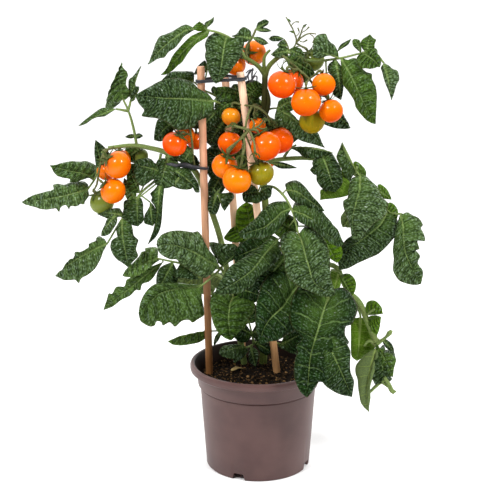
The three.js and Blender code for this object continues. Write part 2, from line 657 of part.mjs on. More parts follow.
// A leaflet grows straight from a stalk that is close by, or else on a short stalk of its own.
function borne(lines, shape) {
  const foot = shape.foot.isVector3 ? shape.foot : place(shape.foot);
  const start = nearest(lines, foot);
  const reach = foot.clone().sub(start);
  if (reach.length() < LEAFLET_STALK_LENGTH) {
    return [blade({ ...shape, foot: start })];
  }
  const beyond = foot.clone().addScaledVector(reach.normalize(), 1);
  return [bentRod([start, beyond], LEAFLET_STALK_RADIUS, 3), blade({ ...shape, foot })];
}

// The point of some bent lines that is nearest to another point.
function nearest(lines, target) {
  const spots = lines.flatMap((line) => line.slice(1).map((end, i) => {
    return new THREE.Line3(line[i], end).closestPointToPoint(target, true, new THREE.Vector3());
  }));
  return spots.reduce((best, p) => (p.distanceTo(target) < best.distanceTo(target) ? p : best));
}

// The tomatoes: where each hangs, its radius, and which way its stalk end points.
const TOMATOES = {
  tomato_top_front: { at: [254, 53, 30], radius: 12.8, top: [-0.5, -0.8, 0.1] },
  tomato_top_left: { at: [235, 64.5, 18], radius: 11.3, top: [0.5, -0.2, 0.85] },
  tomato_right_front: { at: [282, 84.5, -30], radius: 15, top: [0.3, 0, 0.95] },
  tomato_right_behind: { at: [293, 82, -3], radius: 12.5, top: [0, 0, 1] },
  tomato_right_high: { at: [323.6, 84.5, -22], radius: 11.9, top: [-0.2, 0.5, 0.85] },
  tomato_right_centre: { at: [306, 102, -34], radius: 15, top: [0, 0.1, 0.95] },
  tomato_right_low: { at: [331, 111, -26], radius: 12.2, top: [-0.3, 0.4, 0.87] },
  tomato_centre_high: { at: [232.5, 116, 1], radius: 8.6, top: [0.1, -0.75, 0.65] },
  tomato_centre_left: { at: [230, 143, -2], radius: 12.6, top: [0.2, 0.1, 0.97] },
  tomato_centre_lower: { at: [225, 166, -14], radius: 13.6, top: [0.2, -0.45, 0.87] },
  tomato_centre_lowest: { at: [237, 180, -37], radius: 14.6, top: [0.25, -0.1, 0.95] },
  tomato_centre_front: { at: [265, 145, -32], radius: 15.2, top: [-0.5, 0, 0.86] },
  tomato_centre_right: { at: [280, 140.5, -6], radius: 13.2, top: [-0.3, 0.2, 0.92] },
  tomato_centre_inner: { at: [258, 123, -8], radius: 9, top: [-0.3, 0, 0.95] },
  tomato_side_front: { at: [174.5, 144, -12], radius: 12.8, top: [0.5, -0.3, 0.8] },
  tomato_side_middle: { at: [185, 135, 8], radius: 10.6, top: [0.2, 0, 0.97] },
  tomato_side_behind: { at: [196, 141, 24], radius: 9.6, top: [0, 0, 1] },
  tomato_left_high: { at: [117.5, 165, -15], radius: 13.8, top: [-0.75, -0.3, 0.55] },
  tomato_left_low: { at: [113, 191, -17], radius: 13.3, top: [-0.7, -0.2, 0.65] },
  tomato_left_behind: { at: [120, 155, 11], radius: 10.6, top: [-0.2, 0, 0.97] },
  tomato_left_side: { at: [104, 170, 6], radius: 10.6, top: [-0.3, -0.2, 0.92] },
  tomato_back_left: { at: [237, 152, 62], radius: 13.6, top: [0.2, 0.1, 0.97] },
  tomato_back_right: { at: [262, 160, 66], radius: 14.2, top: [-0.3, 0.1, 0.95] },
};

// A tomato is a slightly flattened ball with a dimple at its stalk end. Its profile starts at its foot.
function tomatoProfile(radius) {
  return [
    [0, -0.97], [0.52, -0.86], [0.9, -0.5], [1.02, 0], [0.9, 0.5], [0.52, 0.84], [0, 0.9],
  ].map(([r, z]) => [r * radius, z * radius]);
}

function tomato({ at, radius, top }) {
  return setUpright(lathePoints(tomatoProfile(radius), 10), top, place(at));
}

function lathePoints(profile, sides) {
  return new THREE.LatheGeometry(profile.map(([r, z]) => new THREE.Vector2(r, z)), sides);
}

function setUpright(geometry, top, centre) {
  const turn = new THREE.Quaternion().setFromUnitVectors(new THREE.Vector3(0, 1, 0), point(top).normalize());
  return solid(geometry.applyQuaternion(turn).translate(centre.x, centre.y, centre.z));
}

// The calyx: a star of sepals that lies just over the dimple, with its tips lifted off the fruit.
function calyx({ at, radius, top }) {
  const low = [[0, 0.9 * radius + 0.4], [0.3 * radius, 0.87 * radius + 0.8], [0.74 * radius, 0.64 * radius + 2.7]];
  const thick = [1.8, 0.9, 0.5];
  const positions = [];
  const corners = 2 * CALYX_SEPALS;
  [0, 1].forEach((layer) => {
    positions.push(0, low[0][1] + layer * thick[0], 0);
    for (let i = 0; i < corners; i += 1) {
      const ring = i % 2 === 0 ? 2 : 1;
      const angle = 2 * Math.PI * i / corners + at[0];
      const [r, z] = low[ring];
      positions.push(r * Math.cos(angle), z + layer * thick[ring], -r * Math.sin(angle));
    }
  });
  const index = [];
  const upper = corners + 1;
  for (let i = 0; i < corners; i += 1) {
    const here = 1 + i;
    const next = 1 + (i + 1) % corners;
    index.push(0, next, here, upper, upper + here, upper + next);
    index.push(here, next, upper + next, here, upper + next, upper + here);
  }
  const geometry = new THREE.BufferGeometry();
  geometry.setAttribute("position", new THREE.BufferAttribute(new Float32Array(positions), 3));
  geometry.setIndex(index);
  return setUpright(geometry, top, place(at));
}

// The trusses: green stalks with a calyx over each tomato that they hold, and their unripe fruit.
const TRUSSES = {
  truss_top_left: {
    stalks: [[[248, 60, 6], [246, 53, 8], [247, 46, 8], [252, 38, 5], [256, 29, 2]]],
    holds: ["tomato_top_front", "tomato_top_left"],
    blades: [
      { foot: [256, 30, 2], tip: [266, 20, 0], wide: 8, face: FRONT },
      { foot: [255, 31, 2], tip: [249, 22, 0], wide: 6, face: FRONT },
      { foot: [254, 34, 3], tip: [270, 30, -4], wide: 7, face: HALF },
      { foot: [249, 43, 6], tip: [243, 35, 6], wide: 6, face: HALF },
    ],
  },
  truss_top_right: {
    stalks: [[[279, 53, 8], [290, 62, -4], [303, 78, -12], [310, 90, -8], [320, 99, -6]]],
    holds: [
      "tomato_right_front", "tomato_right_behind", "tomato_right_high", "tomato_right_centre",
      "tomato_right_low",
    ],
    green: [{ at: [312, 121, -11], radius: 12.6, top: [-0.1, 0.4, 0.9] }],
  },
  truss_flowers: {
    stalks: [
      [[276, 54, 8], [286, 40, 14], [296, 44, 14], [293, 30, 8], [284, 18, 4]],
      [[296, 44, 14], [302, 36, 8], [316, 33, 2]],
      [[296, 44, 14], [300, 36, 12], [303, 27, 8]],
    ],
    holds: [],
    green: [{ at: [313, 60, 22], radius: 11.2, top: [-0.5, -0.3, 0.8] }],
    blades: [
      { foot: [286, 40, 13], tip: [269, 38, 4], wide: 9, face: HALF },
      { foot: [284, 19, 4], tip: [288, 24, 0], wide: 4, face: FRONT },
    ],
  },
  truss_centre: {
    stalks: [
      [[262, 108, 8], [253, 106, -12], [247, 119, -22], [245, 133, -26]],
      [[253, 106, -12], [262, 110, -14], [271, 120, -10]],
    ],
    holds: [
      "tomato_centre_high", "tomato_centre_left", "tomato_centre_lower", "tomato_centre_lowest",
      "tomato_centre_front", "tomato_centre_right", "tomato_centre_inner",
    ],
    green: [{ at: [261, 173, -23], radius: 12.6, top: [-0.35, -0.1, 0.92] }],
  },
  truss_side: {
    stalks: [[[196, 173, 11], [193, 158, -1], [192, 142, -6], [188, 118, 5]]],
    holds: ["tomato_side_front", "tomato_side_middle", "tomato_side_behind"],
  },
  truss_left: {
    stalks: [
      [[114, 147, -2], [105, 152, -8], [100, 166, -13], [97, 184, -12]],
      [[105, 152, -8], [102, 146, 0], [108, 140, 8]],
    ],
    holds: ["tomato_left_high", "tomato_left_low", "tomato_left_behind", "tomato_left_side"],
    green: [{ at: [102, 204, 4], radius: 13, top: [-0.5, -0.3, 0.8] }],
  },
  truss_small: {
    stalks: [[[136, 146, 0], [138, 147, 8], [140, 149, 12]]],
    holds: [],
    green: [{ at: [142, 160, 14], radius: 7.5, top: [-0.2, -0.3, 0.92] }],
  },
  truss_back: {
    stalks: [[[262, 142, 14], [254, 134, 40], [250, 130, 62]]],
    holds: ["tomato_back_left", "tomato_back_right"],
  },
};

// A truss, with a pedicel from the nearest point of its stalks to each fruit's calyx.
function truss({ stalks, holds, green = [], blades = [] }) {
  const lines = stalks.map(through);
  const rods = lines.map((line) => bentRod(line, TRUSS_RADIUS, 4));
  const fruits = [...holds.map((name) => TOMATOES[name]), ...green];
  const hung = fruits.flatMap((fruit) => [pedicel(lines, fruit), calyx(fruit)]);
  const unripe = green.map((fruit) => tomato({ ...fruit, radius: fruit.radius + 0.7 }));
  const leaflets = blades.flatMap((shape) => borne(lines, shape));
  return join([...rods, ...hung, ...unripe, ...leaflets]);
}

function pedicel(lines, { at, radius, top }) {
  const up = point(top).normalize();
  const end = place(at).addScaledVector(up, 0.9 * radius + 1.2);
  const knuckle = place(at).addScaledVector(up, 0.9 * radius + 4);
  return bentRod([nearest(lines, knuckle), knuckle, end], PEDICEL_RADIUS, 3);
}

const plant = new THREE.Group();

function add(name, whole, color, roughness) {
  const material = new THREE.MeshStandardMaterial({ color, roughness, metalness: 0 });
  const mesh = new THREE.Mesh(geometryOf(whole.asOriginal().simplify(SMALLEST_DETAIL)), material);
  mesh.name = name;
  plant.add(mesh);
}

const stems = [mainStem(GAP), sideStem(GAP)];
const offStems = (whole) => biggestBody(cut(whole, stems));

add("pot", potShell(), POT_COLOUR, 0.45);
add("soil", soilPlug(), SOIL_COLOUR, 0.95);
Object.entries(CANES).forEach(([name, shape]) => add(name, cane(shape, 0), CANE_COLOUR, 0.6));
add("tie_upper", upperTie(), TIE_COLOUR, 0.5);
add("tie_lower", lowerTie(), TIE_COLOUR, 0.5);
add("leaf_fallen", blade(FALLEN_LEAF), DRY_LEAF_COLOUR, 0.8);
add("stem_main", mainStem(0).add(foliage(MAIN_STEM_LEAVES)), STEM_COLOUR, 0.6);
add("stem_left", sideStem(0).add(foliage(SIDE_STEM_LEAVES)), STEM_COLOUR, 0.6);
Object.entries(TOMATOES).forEach(([name, shape]) => add(name, tomato(shape), RIPE_COLOUR, 0.2));
Object.entries(TRUSSES).forEach(([name, shape]) => add(name, offStems(truss(shape)), STEM_COLOUR, 0.55));
Object.entries(SHOOTS).forEach(([name, shape]) => add(name, offStems(foliage(shape)), LEAF_COLOUR, 0.6));
Object.entries(LEAVES).forEach(([name, shape]) => add(name, offStems(foliage(shape)), LEAF_COLOUR, 0.6));

export default plant;
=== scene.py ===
# %% [markdown]
# # A cherry tomato plant in a nursery pot
# The plant stands in a round plastic pot. Three canes and two ties hold up its stems. The packed
# model gives the true size and place of each piece. This script loads it as a fixed frame, and then
# builds a finer piece over each solid: leaves that are puckered between their veins, glossy fruit
# with their calyxes, and soil with crumbs.

# %% Load the frame
import math
import random

import bpy
import numpy as np
from mathutils import Matrix, Vector, noise


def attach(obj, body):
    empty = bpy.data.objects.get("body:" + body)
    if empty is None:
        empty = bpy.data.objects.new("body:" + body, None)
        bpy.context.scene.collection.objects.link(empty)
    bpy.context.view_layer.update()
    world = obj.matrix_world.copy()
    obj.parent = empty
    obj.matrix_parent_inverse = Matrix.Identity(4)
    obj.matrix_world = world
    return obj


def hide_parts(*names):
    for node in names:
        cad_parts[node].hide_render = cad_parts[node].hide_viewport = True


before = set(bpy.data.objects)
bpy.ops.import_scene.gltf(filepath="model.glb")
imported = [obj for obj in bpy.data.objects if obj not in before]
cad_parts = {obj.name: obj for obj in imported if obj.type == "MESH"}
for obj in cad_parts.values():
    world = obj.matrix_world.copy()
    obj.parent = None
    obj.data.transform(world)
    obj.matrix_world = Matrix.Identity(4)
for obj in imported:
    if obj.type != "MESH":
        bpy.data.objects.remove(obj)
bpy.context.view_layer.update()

MM = 0.001

# %% [markdown]
# ## The camera
# The photo looks a little down on the plant. The eye's place was found from the ovals that the pot's
# rim and foot make in the picture. Places on the plant are then read as (across, down) in a picture
# of 500 x 500, with a depth behind the pot's axis in millimetres.

# %% Set up the camera
EYE = Vector((-8.9, -1279, 591)) * MM
VIEW_DOWN = math.radians(15.14)
VIEW_FOCAL = 1229
VIEW_SIZE = 500
VIEW_CENTRE = VIEW_SIZE / 2
SENSOR_WIDTH = 36

bpy.ops.object.camera_add(location=EYE, rotation=(math.pi / 2 - VIEW_DOWN, 0, 0))
camera = bpy.context.object
camera.data.sensor_width = SENSOR_WIDTH
camera.data.lens = VIEW_FOCAL / VIEW_SIZE * SENSOR_WIDTH
bpy.context.scene.camera = camera
print("The camera has a lens of", round(camera.data.lens, 1), "mm")


# %% Find the point seen at a place in the picture
def seen(across, down, depth):
    """The point, in metres, that lies behind a place in the picture at a depth in millimetres."""
    away = depth * MM - EYE.y
    slope = (VIEW_CENTRE - down) / VIEW_FOCAL
    cosine, sine = math.cos(VIEW_DOWN), math.sin(VIEW_DOWN)
    rise = away * (slope * cosine - sine) / (cosine + slope * sine)
    distance = away * cosine - rise * sine
    return Vector((EYE.x + (across - VIEW_CENTRE) * distance / VIEW_FOCAL, depth * MM, EYE.z + rise))


print("The main stem's foot is at", [round(x, 3) for x in seen(262, 398, 33)])

# %% [markdown]
# ## The studio
# The photo has two soft lamps, one on each side above the camera, which show as twin dots on the
# fruit. The world is white too, brighter behind the plant than in front of it, so that round things
# are paler at their edges. A wide pale floor fills the background, because the camera looks down.

# %% Hang the two lamps
LAMP_DISTANCE = 1.7
LAMP_SIZE = 0.34
LAMP_POWER = 23
LAMP_TURN = math.radians(44)
LAMP_RISE = math.radians(43)
AIM = Vector((0, 0, 0.28))

for turn in (-LAMP_TURN, LAMP_TURN):
    level = math.cos(LAMP_RISE)
    out = Vector((math.sin(turn) * level, -math.cos(turn) * level, math.sin(LAMP_RISE)))
    bpy.ops.object.light_add(type="AREA", location=AIM + out * LAMP_DISTANCE)
    lamp = bpy.context.object
    lamp.rotation_euler = (-out).to_track_quat("-Z", "Y").to_euler()
    lamp.data.size = LAMP_SIZE
    lamp.data.energy = LAMP_POWER
print("Two lamps of", LAMP_POWER, "W light the plant")

# %% Make the world white, and brighter behind the plant
WORLD_GLOW = 1.1
WORLD_LEAN = 1.3
WORLD_LEAST = 0.06

world = bpy.data.worlds.new("studio")
world.use_nodes = True
nodes, links = world.node_tree.nodes, world.node_tree.links
way = nodes.new("ShaderNodeTexCoord")
parts = nodes.new("ShaderNodeSeparateXYZ")
links.new(way.outputs["Generated"], parts.inputs[0])
glow = parts.outputs["Y"]
for operation, *constants in (("MULTIPLY_ADD", WORLD_LEAN, WORLD_GLOW), ("MAXIMUM", WORLD_LEAST)):
    step = nodes.new("ShaderNodeMath")
    step.operation = operation
    links.new(glow, step.inputs[0])
    for index, constant in enumerate(constants, start=1):
        step.inputs[index].default_value = constant
    glow = step.outputs[0]
backdrop = nodes["Background"]
backdrop.inputs["Color"].default_value = (1, 1, 1, 1)
links.new(glow, backdrop.inputs["Strength"])
bpy.context.scene.world = world
bpy.context.scene.view_settings.view_transform = "Standard"
print("The world's light goes from", WORLD_LEAST, "in front to", WORLD_GLOW + WORLD_LEAN, "behind")

# %% [markdown]
# ## Shader maths
# A material's pattern is a sum of waves, noise and masks. Wiring each Math node by hand is long, so a
# small class wraps a socket, and then a sum in Python adds its nodes.


# %% Write sums on sockets
class Wire:
    """A value that flows between the nodes of a finish."""

    def __init__(self, finish, socket):
        self.finish = finish
        self.socket = socket

    def sum(self, operation, *values):
        return self.finish.node("ShaderNodeMath", {"operation": operation}, *values)

    def __add__(self, other):
        return self.sum("ADD", self, other)

    def __sub__(self, other):
        return self.sum("SUBTRACT", self, other)

    def __rsub__(self, other):
        return self.sum("SUBTRACT", other, self)

    def __mul__(self, other):
        return self.sum("MULTIPLY", self, other)

    def __abs__(self):
        return self.sum("ABSOLUTE", self)

    def wrapped(self):
        return self.sum("FRACT", self)

    def between(self, low, high):
        """0 below low, 1 above high, and soft between them."""
        return self.finish.node("ShaderNodeMapRange", {"interpolation_type": "SMOOTHSTEP"}, self, low, high)

    __radd__ = __add__
    __rmul__ = __mul__


print("Sums on sockets are ready")

# %% Build a finish from nodes
MIX_INPUTS = {"share": 0, "first": 6, "second": 7}
MIX_OUTPUT = 2


class Finish:
    """A material with one main shader, whose nodes are added by their type, settings and inputs."""

    def __init__(self, name, **constants):
        self.material = bpy.data.materials.new(name)
        self.material.use_nodes = True
        self.tree = self.material.node_tree
        self.shader = self.tree.nodes["Principled BSDF"]
        for socket, value in constants.items():
            self.shader.inputs[socket.replace("_", " ")].default_value = value

    def fill(self, socket, value):
        if isinstance(value, Wire):
            self.tree.links.new(value.socket, socket)
        elif isinstance(value, tuple) and len(value) == 3 and socket.type == "RGBA":
            socket.default_value = (*value, 1)
        else:
            socket.default_value = value

    def node(self, kind, settings=None, *values, output=0, **named):
        made = self.tree.nodes.new(kind)
        for key, setting in (settings or {}).items():
            setattr(made, key, setting)
        for index, value in enumerate(values):
            self.fill(made.inputs[index], value)
        for socket, value in named.items():
            self.fill(made.inputs[socket], value)
        return Wire(self, made.outputs[output])

    def blend(self, share, first, second):
        """A colour between two others."""
        mix = self.tree.nodes.new("ShaderNodeMix")
        mix.data_type = "RGBA"
        for index, value in zip(MIX_INPUTS.values(), (share, first, second)):
            self.fill(mix.inputs[index], value)
        return Wire(self, mix.outputs[MIX_OUTPUT])

    def stretch(self, vector, scale):
        return self.node("ShaderNodeVectorMath", {"operation": "MULTIPLY"}, vector, scale)

    def place(self):
        return self.node("ShaderNodeTexCoord", output="Object")

    def tone(self, output="Color"):
        """The attribute that holds what each piece has of its own."""
        return self.node("ShaderNodeAttribute", {"attribute_name": "tone"}, output=output)

    def part(self, vector, axis):
        return self.node("ShaderNodeSeparateXYZ", None, vector, output=axis)

    def noise(self, vector, scale, detail=3.0):
        return self.node("ShaderNodeTexNoise", None, Vector=vector, Scale=scale, Detail=detail)

    def cells(self, vector, scale, **settings):
        """Flat cells, as the distance from a cell's middle or, if asked, from its edge."""
        return self.node("ShaderNodeTexVoronoi", {"voronoi_dimensions": "2D", **settings},
                         Vector=vector, Scale=scale)

    def bump(self, height, distance, strength=1.0):
        return self.node("ShaderNodeBump", None, Height=height, Distance=distance, Strength=strength)

    def wear(self, **links):
        for socket, value in links.items():
            self.fill(self.shader.inputs[socket.replace("_", " ")], value)
        return self.material


print("A finish mixes colours with the sockets", MIX_INPUTS)

# %% Read a colour as the photo gives it
SCREEN_BEND = 0.04045
SCREEN_SLOPE = 12.92
SCREEN_LIFT = 0.055
SCREEN_POWER = 2.4


def shade(red, green, blue):
    """A colour of 0 to 255 on the screen, as the light that a shader works with."""
    def light(value):
        share = value / 255
        if share <= SCREEN_BEND:
            return share / SCREEN_SLOPE
        return ((share + SCREEN_LIFT) / (1 + SCREEN_LIFT)) ** SCREEN_POWER
    return (light(red), light(green), light(blue))


print("A mid grey is", round(shade(128, 128, 128)[0], 3), "as light")

# %% [markdown]
# ## The pot's and the floor's finish
# The pot is satin plastic of a mauve taupe. Moulding leaves it very slightly uneven, so a fine noise
# moves its roughness and its surface. The floor is plain and pale.

# %% Make the pot plastic and the floor
FLOOR_SIZE = 60


def pot_plastic(name, deep, pale, shine):
    finish = Finish(name, Specular_IOR_Level=shine)
    place = finish.place()
    cloud = finish.noise(place, scale=28.0)
    grain = finish.noise(place, scale=900.0, detail=2.0)
    colour = finish.blend(cloud.between(0.3, 0.7), deep, pale)
    dimples = finish.bump(grain, distance=0.05 * MM, strength=0.5)
    return finish.wear(Base_Color=colour, Roughness=0.36 + 0.12 * cloud, Normal=dimples)


POT_PLASTIC = pot_plastic("mauve pot plastic", shade(75, 52, 50), shade(86, 62, 59), 0.3)
# A darker copy of the plastic, as painted shade on the pot's inner wall above the soil.
POT_SHADED_INSIDE = pot_plastic("pot plastic in painted shade", shade(30, 21, 18), shade(52, 40, 36), 0.1)
FLOOR_PAINT = Finish("pale floor", Base_Color=(0.93, 0.93, 0.93, 1), Roughness=0.6).material
bpy.ops.object.select_all(action="DESELECT")
bpy.ops.mesh.primitive_plane_add(size=FLOOR_SIZE)
floor = bpy.context.object
floor.name = "floor"
floor.data.materials.append(FLOOR_PAINT)
print("Made the floor and", POT_PLASTIC.name)

# %% [markdown]
# ## The finishes of soil, cane and tie
# Peat is almost black, with paler crumbs and fibres. Each crumb has a shade of its own, kept in an
# attribute. Split cane is pinkish and pale above and more orange below, with a grain along it. Its
# lower part is also darker, which is painted shade under the leaves. Further to the left it is darker.

# %% Make the soil, cane and tie finishes
def peat():
    finish = Finish("dark peat", Roughness=0.95, Specular_IOR_Level=0.05)
    speck = finish.noise(finish.place(), scale=700.0, detail=4.0)
    dark = finish.blend(speck.between(0.4, 0.75), shade(9, 6, 4), shade(36, 26, 17))
    crumbs = finish.blend(finish.tone("Fac"), dark, shade(138, 106, 70))
    return finish.wear(Base_Color=crumbs, Normal=finish.bump(speck, distance=0.6 * MM))


def split_cane():
    finish = Finish("split cane", Specular_IOR_Level=0.15)
    place = finish.place()
    # Paler above and darker below: the darkening below is painted shade under the leaves.
    high = finish.part(place, "Z").between(0.12, 0.34)
    fair = finish.part(place, "X").between(-0.045, -0.02)
    fibre = finish.noise(finish.stretch(place, (1.0, 1.0, 0.02)), scale=1500.0, detail=2.0)
    stain = finish.noise(finish.stretch(place, (1.0, 1.0, 0.25)), scale=60.0)
    above = finish.blend(fibre, finish.blend(fair, shade(176, 124, 92), shade(214, 170, 136)),
                         finish.blend(fair, shade(222, 174, 142), shade(250, 220, 192)))
    # The lower cane's darker colours: a more orange cane, darkened as painted shade.
    below = finish.blend(fibre, finish.blend(fair, shade(98, 60, 28), shade(142, 98, 58)),
                         finish.blend(fair, shade(160, 112, 68), shade(204, 158, 112)))
    colour = finish.blend(high, below, above)
    worn = finish.blend(stain.between(0.55, 0.8) * 0.45, colour, shade(110, 70, 42))
    grain = finish.bump(fibre, distance=0.12 * MM)
    return finish.wear(Base_Color=worn, Roughness=0.5 + 0.2 * fibre, Normal=grain)


def tie_rubber():
    finish = Finish("dark tie", Roughness=0.5)
    ridge = finish.noise(finish.place(), scale=1200.0, detail=1.0)
    colour = finish.blend(ridge, shade(16, 17, 20), shade(52, 54, 60))
    return finish.wear(Base_Color=colour, Normal=finish.bump(ridge, distance=0.2 * MM))


PEAT = peat()
CANE = split_cane()
TIE = tie_rubber()
print("Made", PEAT.name, CANE.name, TIE.name, sep=", ")

# %% [markdown]
# ## The leaves' finish
# A tomato leaflet is dark blue-green above, with a paler midrib and side veins, and its skin is
# puckered into small cushions between the finest veins. Below it is paler and duller. Two UV maps
# carry this. "blade" runs from -1 to 1 across and 0 to 1 along, so that side veins are at even steps
# of it. "grain" is in centimetres, so that the puckers have one size on large and small leaflets.
# An attribute holds each leaflet's own tone: how much painted light falls on it, so that lit leaflets
# are paler and shaded ones darker, how much painted light shines through it from behind, as yellow,
# and a chance shift.

# %% Find the veins of a leaflet
SIDE_VEINS = 7
PUCKER_SCALE = 4.2


def vein_masks(finish, grain, width):
    """The midrib, the side veins, the skin beside them, how far across and how near the foot."""
    blade = finish.node("ShaderNodeUVMap", {"uv_map": "blade"})
    across = abs(finish.part(blade, "X"))
    along = finish.part(blade, "Y")
    stray = finish.noise(grain, scale=0.9, detail=1.0) * 0.06 - 0.03
    aside = abs(finish.part(grain, "X"))
    thick = width * (2.1 - 1.9 * along)
    midrib = (1 - aside.between(thick * 0.3, thick)) * (1 - 0.7 * along)
    from_vein = abs(((along + stray) * SIDE_VEINS).wrapped() - 0.5)
    inside = 1 - across.between(0.6, 1.0)
    side = from_vein.between(0.42, 0.48) * inside
    sunk = from_vein.between(0.18, 0.42) * inside
    return midrib, side, sunk, across, 1 - along


print("A leaflet has", SIDE_VEINS, "side veins on each side")


# %% Make the two finishes of a leaflet
def leaf_top():
    finish = Finish("leaf top", Specular_IOR_Level=0.03, Coat_Roughness=0.28)
    grain = finish.node("ShaderNodeUVMap", {"uv_map": "grain"})
    midrib, side, sunk, across, near = vein_masks(finish, grain, 0.11)
    tone = finish.tone()
    # light is painted light: lit leaflets are paler, shaded ones darker.
    light = finish.part(tone, "X")
    # yellow is painted light shining through the leaflet from behind.
    yellow = finish.part(tone, "Y")
    plain = 1 - 0.7 * yellow
    shift = finish.stretch(tone, (0.0, 0.0, 90.0))
    drift = finish.node("ShaderNodeVectorMath", {"operation": "ADD"}, grain, shift)
    cushion = finish.cells(finish.stretch(drift, (0.8, 1.3, 1.0)), PUCKER_SCALE)
    streak = finish.noise(finish.stretch(drift, (3.4, 7.2, 1.0)), scale=1.0)
    cloud = finish.noise(drift, scale=1.1, detail=2.0)
    relief = streak + (1 - cushion) * 0.5
    crest = relief.between(0.82, 1.06)
    colour = finish.blend(cloud.between(0.3, 0.7), shade(14, 34, 9), shade(28, 54, 18))
    for share, tint in (
        # Painted light makes lit leaflets paler.
        (light, shade(106, 130, 80)),
        # Painted light shining through from behind turns the leaflet yellow.
        (yellow, shade(86, 122, 12)),
        # Painted shade in the hollows between the cushions.
        ((1 - relief.between(0.62, 0.9)) * plain * 0.75, shade(6, 17, 5)),
        # Painted shade in the rows beside the side veins.
        (sunk * 0.6, shade(8, 22, 6)),
        # Painted highlights: pale flecks on the crests, stronger where the leaflet is lit.
        (crest * plain * (0.24 + 0.3 * light), shade(122, 148, 130)),
        (near * near * near * (1 - across.between(0.2, 0.9)) * 0.6, shade(96, 128, 56)),
        (side * (0.15 + 0.45 * near), shade(112, 142, 80)),
        (midrib * 0.8, shade(134, 160, 92)),
        (across.between(0.93, 1.0) * 0.3, shade(84, 72, 44)),
    ):
        colour = finish.blend(share, colour, tint)
    height = relief - side * 0.3 - sunk * 0.25 - midrib * 0.4
    return finish.wear(Base_Color=colour, Roughness=0.3 + 0.3 * streak,
                       Coat_Weight=crest * plain * (0.4 + 0.5 * light),
                       Normal=finish.bump(height, distance=3.4 * MM))


def leaf_underside():
    finish = Finish("leaf underside", Specular_IOR_Level=0.08, Roughness=0.7)
    grain = finish.node("ShaderNodeUVMap", {"uv_map": "grain"})
    midrib, side, *_ = vein_masks(finish, grain, 0.12)
    yellow = finish.part(finish.tone(), "Y")
    net = finish.cells(grain, PUCKER_SCALE, feature="DISTANCE_TO_EDGE")
    # yellow is painted light shining through the leaflet from behind.
    colour = finish.blend(yellow, shade(88, 104, 64), shade(72, 104, 5))
    for share, tint in (
        ((1 - net.between(0.0, 0.12)) * 0.3, shade(136, 156, 76)),
        (side * 0.4, shade(136, 156, 76)),
        (midrib, shade(146, 166, 90)),
    ):
        colour = finish.blend(share, colour, tint)
    height = side * 0.6 + midrib - net * 0.8
    return finish.wear(Base_Color=colour, Normal=finish.bump(height, distance=0.8 * MM, strength=0.7))


LEAF_TOP = leaf_top()
LEAF_UNDERSIDE = leaf_underside()
print("Made", LEAF_TOP.name, "and", LEAF_UNDERSIDE.name)

# %% [markdown]
# ## The finishes of stems and fruit
# Stems are green with a brownish flush and short hairs that make them dull. Ripe fruit go from
# yellow-orange to orange-red. Unripe fruit are olive, darker at the shoulder by the stalk. An
# attribute holds each fruit's height on its own axis, 0 at the foot and 1 at the stalk, then how
# ripe and how young it is. The gloss is a coat on the upper part only: lower down it would mirror
# the pale floor and veil the colour.

# %% Make the stem finishes
def stem_skin(name, pale, deep, darker_band=0.0):
    """Hairy green skin. Where asked, a stretch of its height is darker."""
    finish = Finish(name, Roughness=0.62, Specular_IOR_Level=0.1)
    place = finish.place()
    flush = finish.noise(place, scale=60.0)
    fuzz = finish.noise(place, scale=1500.0, detail=2.0)
    height = finish.part(place, "Z")
    colour = finish.blend(fuzz.between(0.3, 0.7), deep, pale)
    flushed = finish.blend(flush.between(0.5, 0.8) * 0.4, colour, shade(84, 66, 32))
    # A stretch between about 0.33 m and 0.45 m up is darker, by the share given.
    dark = height.between(0.33, 0.38) * (1 - height.between(0.425, 0.45)) * darker_band
    return finish.wear(Base_Color=finish.blend(dark, flushed, shade(38, 36, 10)),
                       Normal=finish.bump(fuzz, distance=0.25 * MM, strength=0.6))


def calyx_skin():
    finish = Finish("calyx skin", Roughness=0.6, Specular_IOR_Level=0.1)
    fuzz = finish.noise(finish.place(), scale=900.0, detail=2.0)
    return finish.wear(Base_Color=finish.blend(fuzz, shade(30, 42, 14), shade(84, 98, 44)),
                       Normal=finish.bump(fuzz, distance=0.2 * MM, strength=0.6))


STEM = stem_skin("stem skin", shade(130, 148, 90), shade(82, 102, 46))
MAIN_STEM = stem_skin("main stem skin", shade(110, 124, 64), shade(66, 80, 30), darker_band=0.9)
TRUSS_STEM = stem_skin("truss skin", shade(112, 116, 72), shade(66, 72, 36))
CALYX = calyx_skin()
DRY_LEAF = Finish("dry leaf", Base_Color=(*shade(150, 128, 78), 1), Roughness=0.8).material
print("Made", STEM.name, MAIN_STEM.name, TRUSS_STEM.name, CALYX.name, DRY_LEAF.name, sep=", ")


# %% Make the fruit finishes
def fruit_skin(name, foot, body, shoulder, streaks=0.0):
    """Skin from foot to shoulder. The foot and the body have a less ripe and a riper colour each."""
    finish = Finish(name, Roughness=0.35, Specular_IOR_Level=0.03, Coat_Roughness=0.16)
    place = finish.place()
    tone = finish.tone()
    height = finish.part(tone, "X")
    fleck = finish.noise(place, scale=420.0, detail=2.0)
    streak = finish.noise(finish.stretch(place, (1.0, 1.0, 0.25)), scale=420.0, detail=2.0)
    less, more = (finish.blend(height.between(0.0, 0.55), *colours) for colours in zip(foot, body))
    colour = finish.blend(finish.part(tone, "Y"), less, more)
    for share, tint in (
        (streak.between(0.5, 0.7) * streaks, shade(84, 98, 14)),
        (finish.part(tone, "Z"), shade(100, 118, 50)),
        (height.between(0.72, 1.0) * 0.7, shoulder),
        (fleck.between(0.62, 0.8) * 0.15, shade(255, 200, 60)),
    ):
        colour = finish.blend(share, colour, tint)
    return finish.wear(Base_Color=colour, Coat_Weight=height.between(0.4, 0.62) * 0.42,
                       Normal=finish.bump(fleck, distance=0.05 * MM, strength=0.3))


